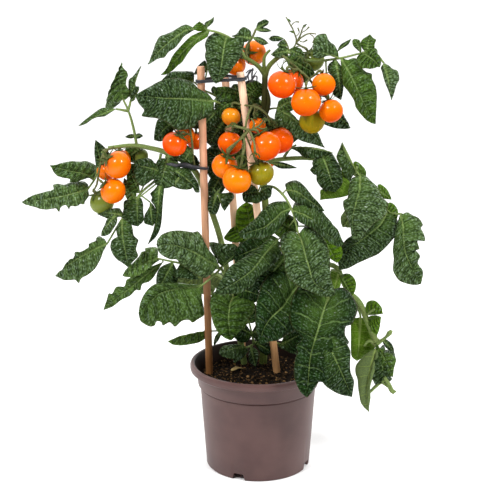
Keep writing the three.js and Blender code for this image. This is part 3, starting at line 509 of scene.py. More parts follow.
# The ripe foot colours are redder, as the ripest part, and darker, which is painted shade on the fruit's
# underside.
RIPE = fruit_skin("ripe skin", foot=(shade(206, 92, 1), shade(198, 44, 1)),
                  body=(shade(218, 126, 2), shade(214, 74, 1)), shoulder=shade(204, 76, 2))
UNRIPE = fruit_skin("unripe skin", foot=(shade(138, 114, 10), shade(200, 146, 10)),
                    body=(shade(128, 118, 20), shade(190, 140, 14)), shoulder=shade(66, 76, 16), streaks=0.4)
print("Made", RIPE.name, "and", UNRIPE.name)


# %% [markdown]
# ## Small tools for meshes
# Operators act on what is selected, so everything is deselected before each new primitive. Rods and
# stalks are bevelled curves: all the stalks of one leaf are splines of one curve, which becomes a
# mesh with closed ends. The pieces of one leaf are then joined into one object.

# %% Add, select, finish and join objects
def fresh(add, **settings):
    """A new primitive, whose place and size become part of its mesh."""
    bpy.ops.object.select_all(action="DESELECT")
    add(**settings)
    bpy.ops.object.transform_apply(location=True, rotation=True, scale=True)
    return bpy.context.object


def placed(data, name):
    """A new object in the scene that holds a mesh or a curve."""
    made = bpy.data.objects.new(name, data)
    bpy.context.scene.collection.objects.link(made)
    return made


def alone(thing):
    """Selects one object and makes it active."""
    bpy.ops.object.select_all(action="DESELECT")
    thing.select_set(True)
    bpy.context.view_layer.objects.active = thing
    return thing


def joined(things, name):
    alone(things[0])
    for thing in things[1:]:
        thing.select_set(True)
    if len(things) > 1:
        bpy.ops.object.join()
    things[0].name = name
    return things[0]


def painted(mesh, *finishes):
    """Gives a mesh these finishes and no others."""
    mesh.materials.clear()
    for finish in finishes:
        mesh.materials.append(finish)


def tinted(mesh, tone):
    """Keeps a colour for the whole mesh in the attribute that the finishes read."""
    layer = mesh.attributes.get("tone") or mesh.attributes.new("tone", "FLOAT_COLOR", "POINT")
    layer.data.foreach_set("color", list((*tone, 1.0)) * len(mesh.vertices))


def smooth(thing):
    thing.data.polygons.foreach_set("use_smooth", [True] * len(thing.data.polygons))
    return thing


def settle(thing, node):
    """The piece rides on the one body and takes the node's place."""
    thing.name = node + "_fine"
    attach(thing, "root")
    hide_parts(node)
    return thing


print("The tools for objects are ready")


# %% Change a shape with a modifier
def changed(thing, kind, **settings):
    """Applies one modifier that has these settings."""
    modifier = thing.modifiers.new(kind.lower(), kind)
    for setting, value in settings.items():
        setattr(modifier, setting, value)
    alone(thing)
    bpy.ops.object.modifier_apply(modifier=modifier.name)
    return thing


def rounded(thing, width, segments, sharp, soft):
    """Rounds the edges that are sharper than one angle, and shades those under another smooth."""
    changed(thing, "BEVEL", width=width, segments=segments, limit_method="ANGLE",
            angle_limit=math.radians(sharp))
    bpy.ops.object.shade_smooth_by_angle(angle=math.radians(soft))


def turned_to(way):
    """The rotation that takes straight up to a direction."""
    return way.to_track_quat("Z", "Y").to_matrix().to_4x4()


print("The tools for shapes are ready")

# %% Make rods from curves
CURVE_STEPS = 5
WELD_DISTANCE = 0.001 * MM


def rods(lines, finish, roundness=1):
    """Round rods through lists of (point, radius), as one mesh with closed ends."""
    curve = bpy.data.curves.new("rods", "CURVE")
    curve.dimensions = "3D"
    curve.bevel_depth = 1.0
    curve.bevel_resolution = roundness
    curve.resolution_u = CURVE_STEPS
    curve.use_fill_caps = True
    for line in lines:
        spline = curve.splines.new("BEZIER")
        spline.bezier_points.add(len(line) - 1)
        for knot, (point, radius) in zip(spline.bezier_points, line):
            knot.co = point
            knot.radius = radius
            knot.handle_left_type = knot.handle_right_type = "AUTO"
    alone(placed(curve, "rods"))
    bpy.ops.object.convert(target="MESH")
    made = bpy.context.object
    bpy.ops.object.mode_set(mode="EDIT")
    bpy.ops.mesh.select_all(action="SELECT")
    bpy.ops.mesh.remove_doubles(threshold=WELD_DISTANCE)
    bpy.ops.object.mode_set(mode="OBJECT")
    painted(made.data, finish)
    return smooth(made)


def rod_line(places):
    """A rod's points and radii, from (across, down, depth, radius in millimetres)."""
    return [(seen(*place), radius * MM) for *place, radius in places]


print("Rods have", CURVE_STEPS, "steps between points")

# %% [markdown]
# ## The pot
# A moulded pot is a turned shape. A circle is filled for the underside, and its edge is extruded and
# resized from ring to ring: out to the foot, up the wall, round the lip and down the inside. Four
# drainage notches are cut from the foot with wedges, a boss under the floor reaches down to the
# ground, and a bevel rounds what is left sharp. Inside, the wall above the soil is darker, which is
# painted shade.

# %% Turn a shape ring by ring
POT_STEPS = 112


def turned(name, rings, steps):
    """A closed turned solid through (radius, height) rings in millimetres, from its underside up."""
    radius, height = rings[0]
    made = fresh(bpy.ops.mesh.primitive_circle_add, vertices=steps, radius=radius * MM, fill_type="NGON",
                 location=(0, 0, height * MM))
    made.name = name
    bpy.ops.object.mode_set(mode="EDIT")
    bpy.ops.mesh.select_mode(type="EDGE")
    bpy.ops.mesh.select_all(action="SELECT")
    for (last, below), (radius, height) in zip(rings, rings[1:]):
        bpy.ops.mesh.extrude_edges_move(TRANSFORM_OT_translate={"value": (0, 0, (height - below) * MM)})
        share = radius / last
        bpy.ops.transform.resize(value=(share, share, 1), center_override=(0, 0, height * MM))
    bpy.ops.mesh.edge_face_add()
    bpy.ops.mesh.select_all(action="SELECT")
    bpy.ops.mesh.normals_make_consistent(inside=False)
    bpy.ops.object.mode_set(mode="OBJECT")
    return made


POT_RINGS = [
    (47.6, 7), (54, 2.2), (55, 0), (56.6, 0), (57.6, 1), (60.5, 42), (63.5, 86), (63.9, 90.6), (63.4, 91.4),
    (63.4, 92.2), (66.2, 93.6), (66.6, 95), (68.4, 110), (73.6, 110), (74.7, 111), (75, 112.6), (75, 115.4),
    (74.4, 117), (72.8, 118), (71, 118), (70, 117.4), (66.8, 110), (64.9, 94), (62.4, 92), (59, 40), (56, 11),
    (54, 9),
]
pot = turned("pot_fine", POT_RINGS, POT_STEPS)
print("The pot has", len(pot.data.polygons), "faces")

# %% Cut the drainage notches
NOTCH_ANGLES = (-22, 68, 158, 248)
NOTCH_PLACE = (0, -57.6 * MM, -1 * MM)
NOTCH_SIZE = Vector((19, 24, 17)) * MM
NOTCH_NARROWING = 11 / 19

wedges = []
for angle in NOTCH_ANGLES:
    wedge = fresh(bpy.ops.mesh.primitive_cube_add, size=1, location=NOTCH_PLACE, scale=NOTCH_SIZE)
    for vertex in wedge.data.vertices:
        if vertex.co.z > 0:
            vertex.co.x *= NOTCH_NARROWING
    wedge.data.transform(Matrix.Rotation(math.radians(angle), 4, "Z"))
    wedges.append(wedge)
wedges = joined(wedges, "wedges")
changed(pot, "BOOLEAN", object=wedges, solver="EXACT")
bpy.data.objects.remove(wedges)
print("The pot has", len(NOTCH_ANGLES), "notches")

# %% Add the boss and round the pot's edges
BOSS_RADIUS = 9 * MM
BOSS_HEIGHT = 8 * MM
BOSS_STEPS = 40
SHADE_FROM = 93 * MM

boss = fresh(bpy.ops.mesh.primitive_cylinder_add, radius=BOSS_RADIUS, depth=BOSS_HEIGHT, vertices=BOSS_STEPS,
             location=(0, 0, BOSS_HEIGHT / 2))
pot = joined([pot, boss], "pot_fine")
rounded(pot, width=0.35 * MM, segments=2, sharp=40, soft=35)
painted(pot.data, POT_PLASTIC, POT_SHADED_INSIDE)
# The inner wall above the soil gets the darker plastic: painted shade inside the pot.
for face in pot.data.polygons:
    outward = face.normal.x * face.center.x + face.normal.y * face.center.y
    face.material_index = int(outward < 0 and face.center.z > SHADE_FROM)
settle(pot, "pot")
print("The pot ends with", len(pot.data.polygons), "faces")

# %% [markdown]
# ## The soil
# The soil is a turned plug whose top rings are close together, so that noise can roughen it. Crumbs
# are small rough stones of twenty faces, sunk half way, and pale fibres lie among them.

# %% Roughen the top of the soil
SOIL_TOP = 102.8
SOIL_RADIUS = 64.2
SOIL_RING_STEP = 1.6
SOIL_STEPS = 96
SOIL_SIDE = [(50, 10), (56, 12.5), (62, 91.8), (64, 95), (SOIL_RADIUS, SOIL_TOP - 1)]
LUMP_SCALE, LUMP_HEIGHT = 45, 1.6
GRIT_SCALE, GRIT_HEIGHT = 170, 0.9
GRIT_SHIFT = 3

inner_rings = [(r, SOIL_TOP) for r in np.arange(SOIL_RADIUS - SOIL_RING_STEP, 1, -SOIL_RING_STEP)]
soil = turned("soil_fine", [*SOIL_SIDE, *inner_rings], SOIL_STEPS)


def soil_height(x, y):
    """How far the soil is above its mean level, in metres."""
    lump = noise.noise(Vector((x, y, 0)) * LUMP_SCALE) * LUMP_HEIGHT
    grit = noise.noise(Vector((x, y, GRIT_SHIFT)) * GRIT_SCALE) * GRIT_HEIGHT
    return (lump + grit) * MM


for vertex in soil.data.vertices:
    if vertex.co.z > (SOIL_TOP - 0.5) * MM:
        vertex.co.z += soil_height(vertex.co.x, vertex.co.y)
smooth(soil)
print("The soil has", len(soil.data.polygons), "faces")

# %% Scatter crumbs and fibres
CRUMBS = 1500
CRUMB_REACH = 61.5 * MM
CRUMB_SIZES = (0.5, 0.6, 0.8, 1.1, 1.7)
PALE_RARITY = 5
FIBRES = 110
FIBRE_REACH = 58 * MM
FIBRE_LIFT = 0.5 * MM
FIBRE_END = 0.6
FIBRE_TONE = (0.55, 0.55, 0.55)
SOIL_TONE = (0.0, 0.0, 0.0)
chance = random.Random(11)


def on_soil(reach):
    angle = chance.uniform(0, 2 * math.pi)
    radius = reach * math.sqrt(chance.random())
    x, y = radius * math.cos(angle), radius * math.sin(angle)
    return Vector((x, y, SOIL_TOP * MM + soil_height(x, y)))


def crumb_copies():
    stone = fresh(bpy.ops.mesh.primitive_ico_sphere_add, subdivisions=1, radius=1)
    copies = []
    for _ in range(CRUMBS):
        mesh = stone.data.copy()
        size = MM * chance.choice(CRUMB_SIZES)
        angle = chance.uniform(0, 6)
        axis = Vector([chance.uniform(-1, 1) for _ in range(3)]).normalized()
        turn = Matrix.Rotation(angle, 4, axis)
        sides = (chance.uniform(0.6, 1.5), chance.uniform(0.6, 1.2), chance.uniform(0.5, 1), 1)
        stretch = Matrix.Diagonal(sides)
        mesh.transform(Matrix.Translation(on_soil(CRUMB_REACH)) @ turn @ stretch @ Matrix.Scale(size, 4))
        pale = chance.random() ** PALE_RARITY
        tinted(mesh, (pale, pale, pale))
        copies.append(placed(mesh, "crumb"))
    bpy.data.objects.remove(stone)
    return copies


def fibre_lines():
    lines = []
    for _ in range(FIBRES):
        start = on_soil(FIBRE_REACH) + Vector((0, 0, FIBRE_LIFT))
        way = Vector((chance.uniform(-1, 1), chance.uniform(-1, 1), chance.uniform(0, 0.25)))
        way = way * chance.uniform(2, 6) * MM
        bend = Vector((-way.y, way.x, 0)) * chance.uniform(-0.4, 0.4)
        radius = chance.uniform(0.1, 0.25) * MM
        middle = start + way * 0.5 + bend
        lines.append([(start, radius), (middle, radius), (start + way, radius * FIBRE_END)])
    return lines


fibres = rods(fibre_lines(), PEAT)
tinted(fibres.data, FIBRE_TONE)
tinted(soil.data, SOIL_TONE)
soil = joined([soil, *crumb_copies(), fibres], "soil_fine")
painted(soil.data, PEAT)
settle(soil, "soil")
print("The soil carries", CRUMBS, "crumbs and", FIBRES, "fibres")

# %% [markdown]
# ## The canes and the ties
# Each cane is split from bamboo, so it is a rod whose width wavers a little. A tie is a flexible
# strip drawn round what it holds and twisted at its end.

# %% Put in the canes
CANE_RADIUS = 4.0
CANE_SIDES = 28
CANE_RINGS = 30
WAVER = 0.035
WAVER_ROUND, WAVER_ALONG = 90, 9
CANES = {
    "cane_left": ((-60, 0, 442), (-52.5, 3.7, 22)),
    "cane_right": ((-19, 0, 436), (29, 7.2, 36)),
    "cane_back": ((-35, 23, 427), (-14.2, 50, 50)),
}


def cane_at(name, height):
    top, foot = (Vector(end) for end in CANES[name])
    return foot.lerp(top, (height - foot.z) / (top.z - foot.z)) * MM


def split_rod(name):
    """A cylinder from foot to top with rings along it, each a little wider or narrower."""
    top, foot = (Vector(end) * MM for end in CANES[name])
    rod = fresh(bpy.ops.mesh.primitive_cylinder_add, vertices=CANE_SIDES, radius=CANE_RADIUS * MM, depth=1)
    bpy.ops.object.mode_set(mode="EDIT")
    bpy.ops.mesh.select_mode(type="FACE")
    for ring in range(1, CANE_RINGS):
        bpy.ops.mesh.select_all(action="SELECT")
        bpy.ops.mesh.bisect(plane_co=(0, 0, ring / CANE_RINGS - 0.5), plane_no=(0, 0, 1))
    bpy.ops.object.mode_set(mode="OBJECT")
    length = (top - foot).length
    for vertex in rod.data.vertices:
        x, y, along = vertex.co
        waver = 1 + WAVER * noise.noise(Vector((x * WAVER_ROUND, y * WAVER_ROUND, along * WAVER_ALONG)))
        vertex.co = (x * waver, y * waver, along * length)
    rounded(rod, width=0.5 * MM, segments=3, sharp=60, soft=40)
    rod.data.transform(Matrix.Translation((top + foot) / 2) @ turned_to(top - foot))
    painted(rod.data, CANE)
    settle(rod, name)


for cane in CANES:
    split_rod(cane)
print("Put in", ", ".join(CANES))

# %% Draw the ties round what they hold
BAND_STEPS = 7
CANE_HOLD = 5.2 * MM
STEM_HOLD = 8.2 * MM


def band(centres, radii, height, tilt):
    """The closed line of a tie round circles that are given anticlockwise, in metres."""
    line = []
    count = len(centres)
    for i, (centre, radius) in enumerate(zip(centres, radii)):
        before, after = centres[i - 1], centres[(i + 1) % count]
        start = math.atan2(centre.y - before.y, centre.x - before.x) - math.pi / 2
        turn = (math.atan2(after.y - centre.y, after.x - centre.x) - math.pi / 2 - start) % (2 * math.pi)
        for share in np.linspace(0, 1, BAND_STEPS):
            angle = start + turn * share
            x, y = centre.x + radius * math.cos(angle), centre.y + radius * math.sin(angle)
            line.append(Vector((x, y, height + tilt * (x - centres[0].x))))
    return line


def tie(node, centres, radii, height, tilt, width, gap, ends):
    """Two strands side by side round what they hold, and the twisted ends."""
    loops = []
    for rise in (-gap / 2 * MM, gap / 2 * MM):
        loop = [point + Vector((0, 0, rise)) for point in band(centres, radii, height * MM, tilt)]
        loops.append([(point, width * MM) for point in loop + loop[:1]])
    loops += [rod_line(end) for end in ends]
    settle(rods(loops, TIE), node)


upper = [cane_at("cane_left", 427), cane_at("cane_right", 427), cane_at("cane_back", 421)]
tie("tie_upper", upper, [CANE_HOLD] * 3, height=427, tilt=0.06, width=0.95, gap=1.7, ends=[
    [(246, 79, -7, 0.9), (240, 80.5, -8, 1.3), (234, 80, -8, 1.1), (228, 80.5, -7, 1.5), (222, 81, -6, 0.9)],
    [(245, 78, -6, 0.9), (249, 74, -4, 0.6), (253, 68, -3, 0.5)],
    [(253, 68, -3, 0.6), (252, 74, -3, 1.1), (252, 82, -4, 0.7)],
    [(252, 69, -3, 0.6), (248, 75, -4, 1.0), (249, 81, -5, 0.6)],
    [(252, 80, -4, 0.7), (256, 76, -3, 0.8), (257, 81, -2, 0.6)],
    [(246, 73, -4, 0.6), (250, 70, -5, 0.8), (254, 70, -5, 0.6)],
    [(250, 82, -4, 0.6), (253, 77, -5, 0.8), (257, 71, -4, 0.4)],
])
held = [seen(186, 164, 9), cane_at("cane_left", 336)]
tie("tie_lower", held, [STEM_HOLD, CANE_HOLD], height=336, tilt=-0.06, width=0.62, gap=1.1, ends=[
    [(165.5, 163.5, -2, 0.5), (168, 164.5, -3, 1.9), (172, 164.5, -4, 2.4), (176, 165.5, -4, 2.0),
     (180, 164.5, -4, 1.2), (184, 164, -5, 1.7), (188, 165, -5, 2.3), (192, 166, -5, 1.3),
     (198, 167, -6, 1.1), (204, 168, -6, 1.1), (208, 168.5, -3, 0.8)],
    [(180, 165, -3, 1.0), (186, 166.5, -4, 1.2), (194, 167.5, -5, 0.8)],
])
print("Drew two ties")

# %% [markdown]
# ## How a leaflet is shaped
# A leaflet is a thin blade. Its side veins leave the midrib and run forward to the margin, and the
# skin swells into cushions between them. So each leaflet starts as a grid whose cross lines become
# side veins: a point (u, v) lies the share u of the way out along the vein that leaves the midrib at
# v. The outline, the folds and the cushions are sums on u and v, which a grid of many faces follows.
# The grid primitive is added once for each of four widths in millimetres, with its own count of
# cells across and along, and copied for each leaflet of at least that width.

# %% Add the master grids
GRIDS = {30: (40, 58), 16: (26, 38), 9: (14, 22), 0: (8, 12)}


def master_grid(across, along):
    """A grid with u from -1 to 1 and v from 0 to 1, without a UV map."""
    grid = fresh(bpy.ops.mesh.primitive_grid_add, x_subdivisions=across, y_subdivisions=along, size=2)
    mesh = grid.data.copy()
    bpy.data.objects.remove(grid)
    mesh.uv_layers.remove(mesh.uv_layers[0])
    spots = np.empty(len(mesh.vertices) * 3)
    mesh.vertices.foreach_get("co", spots)
    spots = spots.reshape(-1, 3)
    return mesh, spots[:, 0].round(6), (spots[:, 1] / 2 + 0.5).round(6)


MASTERS = {width * MM: master_grid(*cells) for width, cells in GRIDS.items()}
print("The grids have", [len(mesh.polygons) for mesh, _, _ in MASTERS.values()], "faces")

# %% Draw the outline of a leaflet
WIDEST = 0.3
TIP_WIDTH = 0.25 * MM
FOOT_FULLNESS, FOOT_CORNER = 2.6, 0.8


def soft_step(x, low, high):
    """0 below low, 1 above high, and soft between them."""
    x = np.clip((x - low) / (high - low), 0, 1)
    return x * x * (3 - 2 * x)


def outline(v, taper):
    """The half width at v, as a share of the greatest."""
    foot = (1 - np.clip((WIDEST - v) / WIDEST, 0, 1) ** FOOT_FULLNESS) ** FOOT_CORNER
    end = 1 - np.clip((v - WIDEST) / (1 - WIDEST), 0, 1) ** taper
    return np.where(v < WIDEST, foot, end)


print("A leaflet is widest at", WIDEST, "of its midrib")

# %% [markdown]
# Most leaflets have outlines of their own. Each is given by a few places along its midrib and along
# its two margins, as they are seen in the picture. A place is carried back along the line of sight to
# the leaflet's own curved surface, and smooth curves are drawn through what is found.

# %% Draw a smooth line through places
LINE_STEPS = 14
LINE_SLACK = 0.42
NEXT_TO_NOTHING = 1e-9


def smooth_line(spots):
    """A smooth curve through flat points, with how far along it each of its points is."""
    spots = [np.array(spot, dtype=float) for spot in spots]
    spots = [2 * spots[0] - spots[1], *spots, 2 * spots[-1] - spots[-2]]
    line = []
    for p0, p1, p2, p3 in zip(spots, spots[1:], spots[2:], spots[3:]):
        reach = np.linalg.norm(p2 - p1)
        pulls = (LINE_SLACK * (p2 - p0), LINE_SLACK * (p3 - p1))
        first, last = (pull * min(1.0, reach / max(np.linalg.norm(pull), NEXT_TO_NOTHING)) for pull in pulls)
        for x in np.arange(LINE_STEPS) / LINE_STEPS:
            line.append((2 * x ** 3 - 3 * x ** 2 + 1) * p1 + (x ** 3 - 2 * x ** 2 + x) * first
                        + (3 * x ** 2 - 2 * x ** 3) * p2 + (x ** 3 - x ** 2) * last)
    line.append(spots[-2])
    line = np.array(line)
    along = np.concatenate([[0], np.cumsum(np.linalg.norm(np.diff(line, axis=0), axis=1))])
    return line, along / along[-1]


def on_line(line, share):
    spots, along = line
    return np.stack([np.interp(share, along, spots[:, 0]), np.interp(share, along, spots[:, 1])], axis=1)


print("A line of three points has", len(smooth_line([(0, 0), (1, 1), (2, 0)])[0]), "steps")

# %% [markdown]
# The skin swells in rows between the side veins, and each row in cushions of one size. The midrib
# lies in a groove, each half is domed, and the margin waves up and down. All of these are heights
# over the fold, most of them as shares of the leaflet's half width.

# %% Pucker the skin
ROW_SWELL, ROW_LEVEL, ROW_BREADTH = 0.15, 0.6, 0.6
CUSHION = 3.4 * MM
CUSHION_BREADTH = 1.25
CUSHION_HEIGHT, CUSHION_LIMIT = 0.95 * MM, 1.1
FULL_PUCKERS_FROM = 14 * MM
GROOVE_DEPTH, GROOVE_WIDTH = 0.09, 0.13
DOME = 0.16
MARGIN_WAVES = 2.1
MARGIN_DROP = 0.05


def relief(blade, u, v, d):
    """How far the skin stands over the fold, where d is the distance from the midrib."""
    x, half = np.abs(u), blade.half
    row = np.abs(np.sin(math.pi * SIDE_VEINS * v)) ** ROW_BREADTH
    inside = 1 - 0.75 * soft_step(x, 0.55, 1.0)
    rows = ROW_SWELL * half * (row - ROW_LEVEL) * inside * soft_step(x, 0.0, 0.2)
    places = zip(np.sign(u) * d / CUSHION / CUSHION_BREADTH, v * blade.length / CUSHION)
    shift = 100 * blade.phases[0]
    cushions = np.array([noise.noise(Vector((a, b, shift)), noise_basis="VORONOI_F2F1") for a, b in places])
    tall = CUSHION_HEIGHT * min(1.0, half / FULL_PUCKERS_FROM)
    puckers = tall * np.minimum(cushions + 1, CUSHION_LIMIT) * (1 - 0.5 * soft_step(x, 0.8, 1.0))
    groove = -GROOVE_DEPTH * half * np.exp(-(d / (GROOVE_WIDTH * half)) ** 2)
    dome = DOME * half * 4 * x * (1 - x) * outline(v, blade.taper)
    phase = np.where(u > 0, blade.phases[1], blade.phases[2])
    margin = blade.wave * half * x ** 2 * np.sin(2 * math.pi * MARGIN_WAVES * v + phase)
    return rows + puckers + groove + dome + margin - MARGIN_DROP * half * x ** 4


print("The cushions are about", CUSHION / MM, "mm long")

# %% Work out every point of a leaflet
VEIN_LEAN, FOOT_LEAN, FULL_LEAN_FROM = 0.62, -0.25, 0.3
VEIN_BEND = 1.35
MARGIN_LEAD = 0.8
TRACED_LEAN = 0.12
RIDGE_ROUNDING = 1.5 * MM
CURL_FROM = 0.6
TWIST_FROM = 0.2
LEAST_SLANT = 0.3
SIGHT_STEPS = 8
PAINTED_LIGHT_FROM, PAINTED_LIGHT_RANGE = -0.04, 0.95
FLAT_FOOT, FLAT_TIP = (0.0, 0.08), (0.93, 1.0)


class Blade:
    """A leaflet's place and form. Its points are worked out from u and v."""

    def __init__(self, foot, tip, wide, face, arch=0.1, fold=-0.25, light=0.2, yellow=0.0, turned=False,
                 rib=(), edges=None, key=""):
        draw = random.Random(f"{key} {[round(x, 4) for x in tip]}").uniform
        self.start = foot
        self.half = wide * MM / 2
        self.length = (tip - foot).length
        self.along = (tip - foot).normalized()
        self.side = self.along.cross(face).normalized()
        self.up = self.side.cross(self.along)
        self.arch, self.fold, self.turned = arch, fold, turned
        # The tone's light is painted light and shade on the leaflet, and its yellow is painted light shining
        # through from behind.
        painted_light = PAINTED_LIGHT_FROM + PAINTED_LIGHT_RANGE * light + draw(0, 0.1)
        self.tone = (painted_light, yellow + draw(0, 0.05), draw(0, 1))
        self.wave = draw(0.05, 0.11)
        self.curl = draw(0.0, 0.1)
        self.bow = draw(-0.12, 0.12)
        self.taper = draw(1.6, 2.0)
        self.twist = draw(-0.25, 0.25)
        self.lopsided = draw(-0.08, 0.08)
        self.phases = [draw(0, 6.3) for _ in range(3)]
        self.margins = self.trace(rib, edges) if edges else None

    def trace(self, rib, edges):
        """The midrib and the margins as flat curves, the one at negative u first."""
        end = (0.0, self.length)
        self.midrib = smooth_line([(0, 0), *[self.flat(*spot) for spot in rib], end])
        sides = [[self.flat(*spot) for spot in edge] for edge in edges]
        sides.sort(key=lambda edge: sum(x for x, _ in edge) / len(edge))
        self.half = (max(x for x, _ in sides[1]) - min(x for x, _ in sides[0])) / 2
        return [smooth_line([(0, 0), *edge, end]) for edge in sides]

    def flat(self, across, down):
        """Where the line of sight through a place in the picture meets the leaflet, flattened."""
        sight = (seen(across, down, 0) - EYE).normalized()
        slant = sight.dot(self.up)
        slant = math.copysign(max(abs(slant), LEAST_SLANT), slant)
        high = 0.0
        for _ in range(SIGHT_STEPS):
            reach = (high - (EYE - self.start).dot(self.up)) / slant
            spot = EYE + sight * reach - self.start
            x, s = spot.dot(self.side), spot.dot(self.along)
            high += (float(self.bend(s / self.length, abs(x))) - high) / 2
        return x, s

    def bend(self, t, d):
        """The height of the arch, the curl at the tip and the fold, without the skin's relief."""
        t = np.clip(t, -0.15, 1.15)
        fold = math.sin(self.fold) * (np.sqrt(d ** 2 + RIDGE_ROUNDING ** 2) - RIDGE_ROUNDING)
        arch = self.arch * 4 * t * (1 - t) * self.length
        curl = self.curl * self.length * (np.clip((t - CURL_FROM) / (1 - CURL_FROM), 0, 1) ** 2 - t)
        return fold + arch - curl

    def width(self, u, v):
        """The half width of the margin that the vein at v runs to."""
        share = outline(v, self.taper) * (1 + self.lopsided * np.sign(u))
        return np.maximum(share * self.half, TIP_WIDTH)

    def flat_points(self, u, v):
        """Where u and v lie on the flattened leaflet: across, along, and the distance from the midrib."""
        x = np.abs(u)
        if self.margins:
            middle = on_line(self.midrib, v)
            left, right = (on_line(margin, v ** MARGIN_LEAD) for margin in self.margins)
            out = np.where((u < 0)[:, None], left, right) - middle
            spots = middle + out * x[:, None]
            spots[:, 0] += np.sign(u) * TIP_WIDTH * x
            d = np.linalg.norm(out, axis=1) * x
            spots[:, 1] -= TRACED_LEAN * d * (1 - x)
            return spots[:, 0], spots[:, 1], d
        w = self.width(u, v)
        lean = FOOT_LEAN + (VEIN_LEAN - FOOT_LEAN) * soft_step(v, 0.0, FULL_LEAN_FROM)
        s = v * self.length + x ** VEIN_BEND * lean * w
        t = s / self.length
        bow = self.bow * self.half * 4 * t * (1 - t)
        return np.sign(u) * x * w * math.cos(self.fold) + bow, s, x * w

    def points(self, u, v):
        """The points of the leaflet, and their places on its flattened skin."""
        across, s, d = self.flat_points(u, v)
        t = s / self.length
        lift = relief(self, u, v, d) * soft_step(v, *FLAT_FOOT) * (1 - soft_step(v, *FLAT_TIP))
        high = self.bend(t, d) + lift
        if not self.margins:
            turn = self.twist * (t - TWIST_FROM)
            cosine, sine = np.cos(turn), np.sin(turn)
            across, high = across * cosine - high * sine, across * sine + high * cosine
        spots = np.outer(across, self.side) + np.outer(high, self.up) + np.outer(s, self.along)
        return spots + np.array(self.start), np.stack([np.sign(u) * d, v * self.length], axis=1)


print("A leaflet's points are sums on u and v")

# %% Make a leaflet's mesh
BLADE_THICKNESS = 0.45 * MM
GRAIN_SCALE = 100
RIB_STEPS = 6
RIB_END = 0.86
RIB_RADIUS, RIB_SHARE, RIB_LEAST = 0.25 * MM, 0.018, 0.12 * MM
RIB_TAPER = 1.2
RIB_DROP = 0.8


def uv_layer(mesh, name, values):
    corners = np.empty(len(mesh.loops), dtype=int)
    mesh.loops.foreach_get("vertex_index", corners)
    layer = mesh.uv_layers.new(name=name)
    layer.data.foreach_set("uv", values[corners].astype(float).ravel())


def leaflet(blade):
    """A copy of a master grid in the leaflet's shape."""
    master, u, v = MASTERS[max(width for width in MASTERS if blade.half >= width / 2)]
    mesh = master.copy()
    spots, flat = blade.points(u, v)
    mesh.vertices.foreach_set("co", spots.ravel())
    uv_layer(mesh, "blade", np.stack([u, v], axis=1))
    uv_layer(mesh, "grain", flat * GRAIN_SCALE)
    tinted(mesh, blade.tone)
    painted(mesh, LEAF_TOP, LEAF_UNDERSIDE, LEAF_TOP)
    mesh.polygons.foreach_set("material_index", [int(blade.turned)] * len(mesh.polygons))
    return placed(mesh, "leaflet")


def rib(blade):
    """The midrib, which stands out below, as a thin rod that tapers towards the tip."""
    v = np.linspace(0.0, RIB_END, RIB_STEPS)
    spots, _ = blade.points(np.zeros(RIB_STEPS) + NEXT_TO_NOTHING, v)
    thick = RIB_RADIUS + RIB_SHARE * blade.half * 2
    radii = [max(RIB_LEAST, thick * (1 - share) ** RIB_TAPER) for share in v]
    return [(Vector(spot) - blade.up * radius * RIB_DROP, radius) for spot, radius in zip(spots, radii)]


def thicken(thing):
    """Gives blades a thickness. Their lower side and edge take the next finish in their list."""
    return changed(thing, "SOLIDIFY", thickness=BLADE_THICKNESS, offset=-1, material_offset=1,
                   material_offset_rim=1)


print("A leaflet is", BLADE_THICKNESS / MM, "mm thick")

# %% [markdown]
# ## The plant's tables
# Stalks are lists of places in the picture, each (across, down, depth). A leaflet is given by its
# foot, its tip, its width in millimetres and the way that it faces. One that is cut has its two
# margins, and perhaps its midrib, in place of the width.

# %% Read places and stalks
FRONT = Vector((0, -1, 0.3))
HALF = Vector((0, -0.75, 0.66))
TOP = Vector((0, -0.3, 0.95))
FRONT_LEFT = Vector((-0.55, -0.75, 0.35))
FRONT_RIGHT = Vector((0.55, -0.75, 0.35))
BACK = Vector((0, 0.85, 0.5))
UPWARD = Vector((0, 0.35, 0.94))
STALK_REACH = 5 * MM
STALK_RADII = (0.9 * MM, 0.8 * MM, 0.8 * MM)
RIBBED_FROM = 4.5 * MM


def through(places):
    return [seen(*place) for place in places]


def cut(foot, tip, face, first, second, rib=(), **form):
    """A leaflet whose two margins, and perhaps its midrib, are traced in the picture."""
    return foot, tip, 0, face, {"rib": rib, "edges": (first, second), **form}


def nearest(lines, target):
    """The point of some bent lines that is nearest to another point."""
    spots = []
    for line in lines:
        for low, high in zip(line, line[1:]):
            share = (target - low).dot(high - low) / (high - low).length_squared
            spots.append(low.lerp(high, min(1.0, max(0.0, share))))
    return min(spots, key=lambda spot: (spot - target).length)


def tapered(line, first, last):
    """Points with radii in millimetres that go evenly from the first to the last."""
    count = len(line) - 1
    return [(point, MM * (first + (last - first) * i / count)) for i, point in enumerate(line)]


def dressed(node, lines, leaflets):
    """The leaflets of a node, with the small stalks that bear them and their midribs."""
    rows, small = [], []
    for index, (foot, tip, wide, face, form) in enumerate(leaflets):
        foot, tip = (end if isinstance(end, Vector) else seen(*end) for end in (foot, tip))
        start = nearest(lines, foot)
        if (foot - start).length < STALK_REACH:
            foot = start
        else:
            small.append(list(zip((start, start.lerp(foot, 0.5), foot), STALK_RADII)))
        blade = Blade(foot, tip, wide, face.normalized(), key=f"{node} {index}", **form)
        rows.append(leaflet(blade))
        if blade.half > RIBBED_FROM:
            small.append(rib(blade))
    return thicken(smooth(joined(rows, "blades"))), small


print("Leaflets within", STALK_REACH / MM, "mm of a stalk grow straight from it")

# %% Build a compound leaf
LEAF_STALK = (1.6, 1.0)
END_LEAFLET = 1.15
FIRST_PAIR = 0.68
PAIR_START = 0.6
PAIR_FORWARD = 0.5
PAIR_LOSS = 0.12


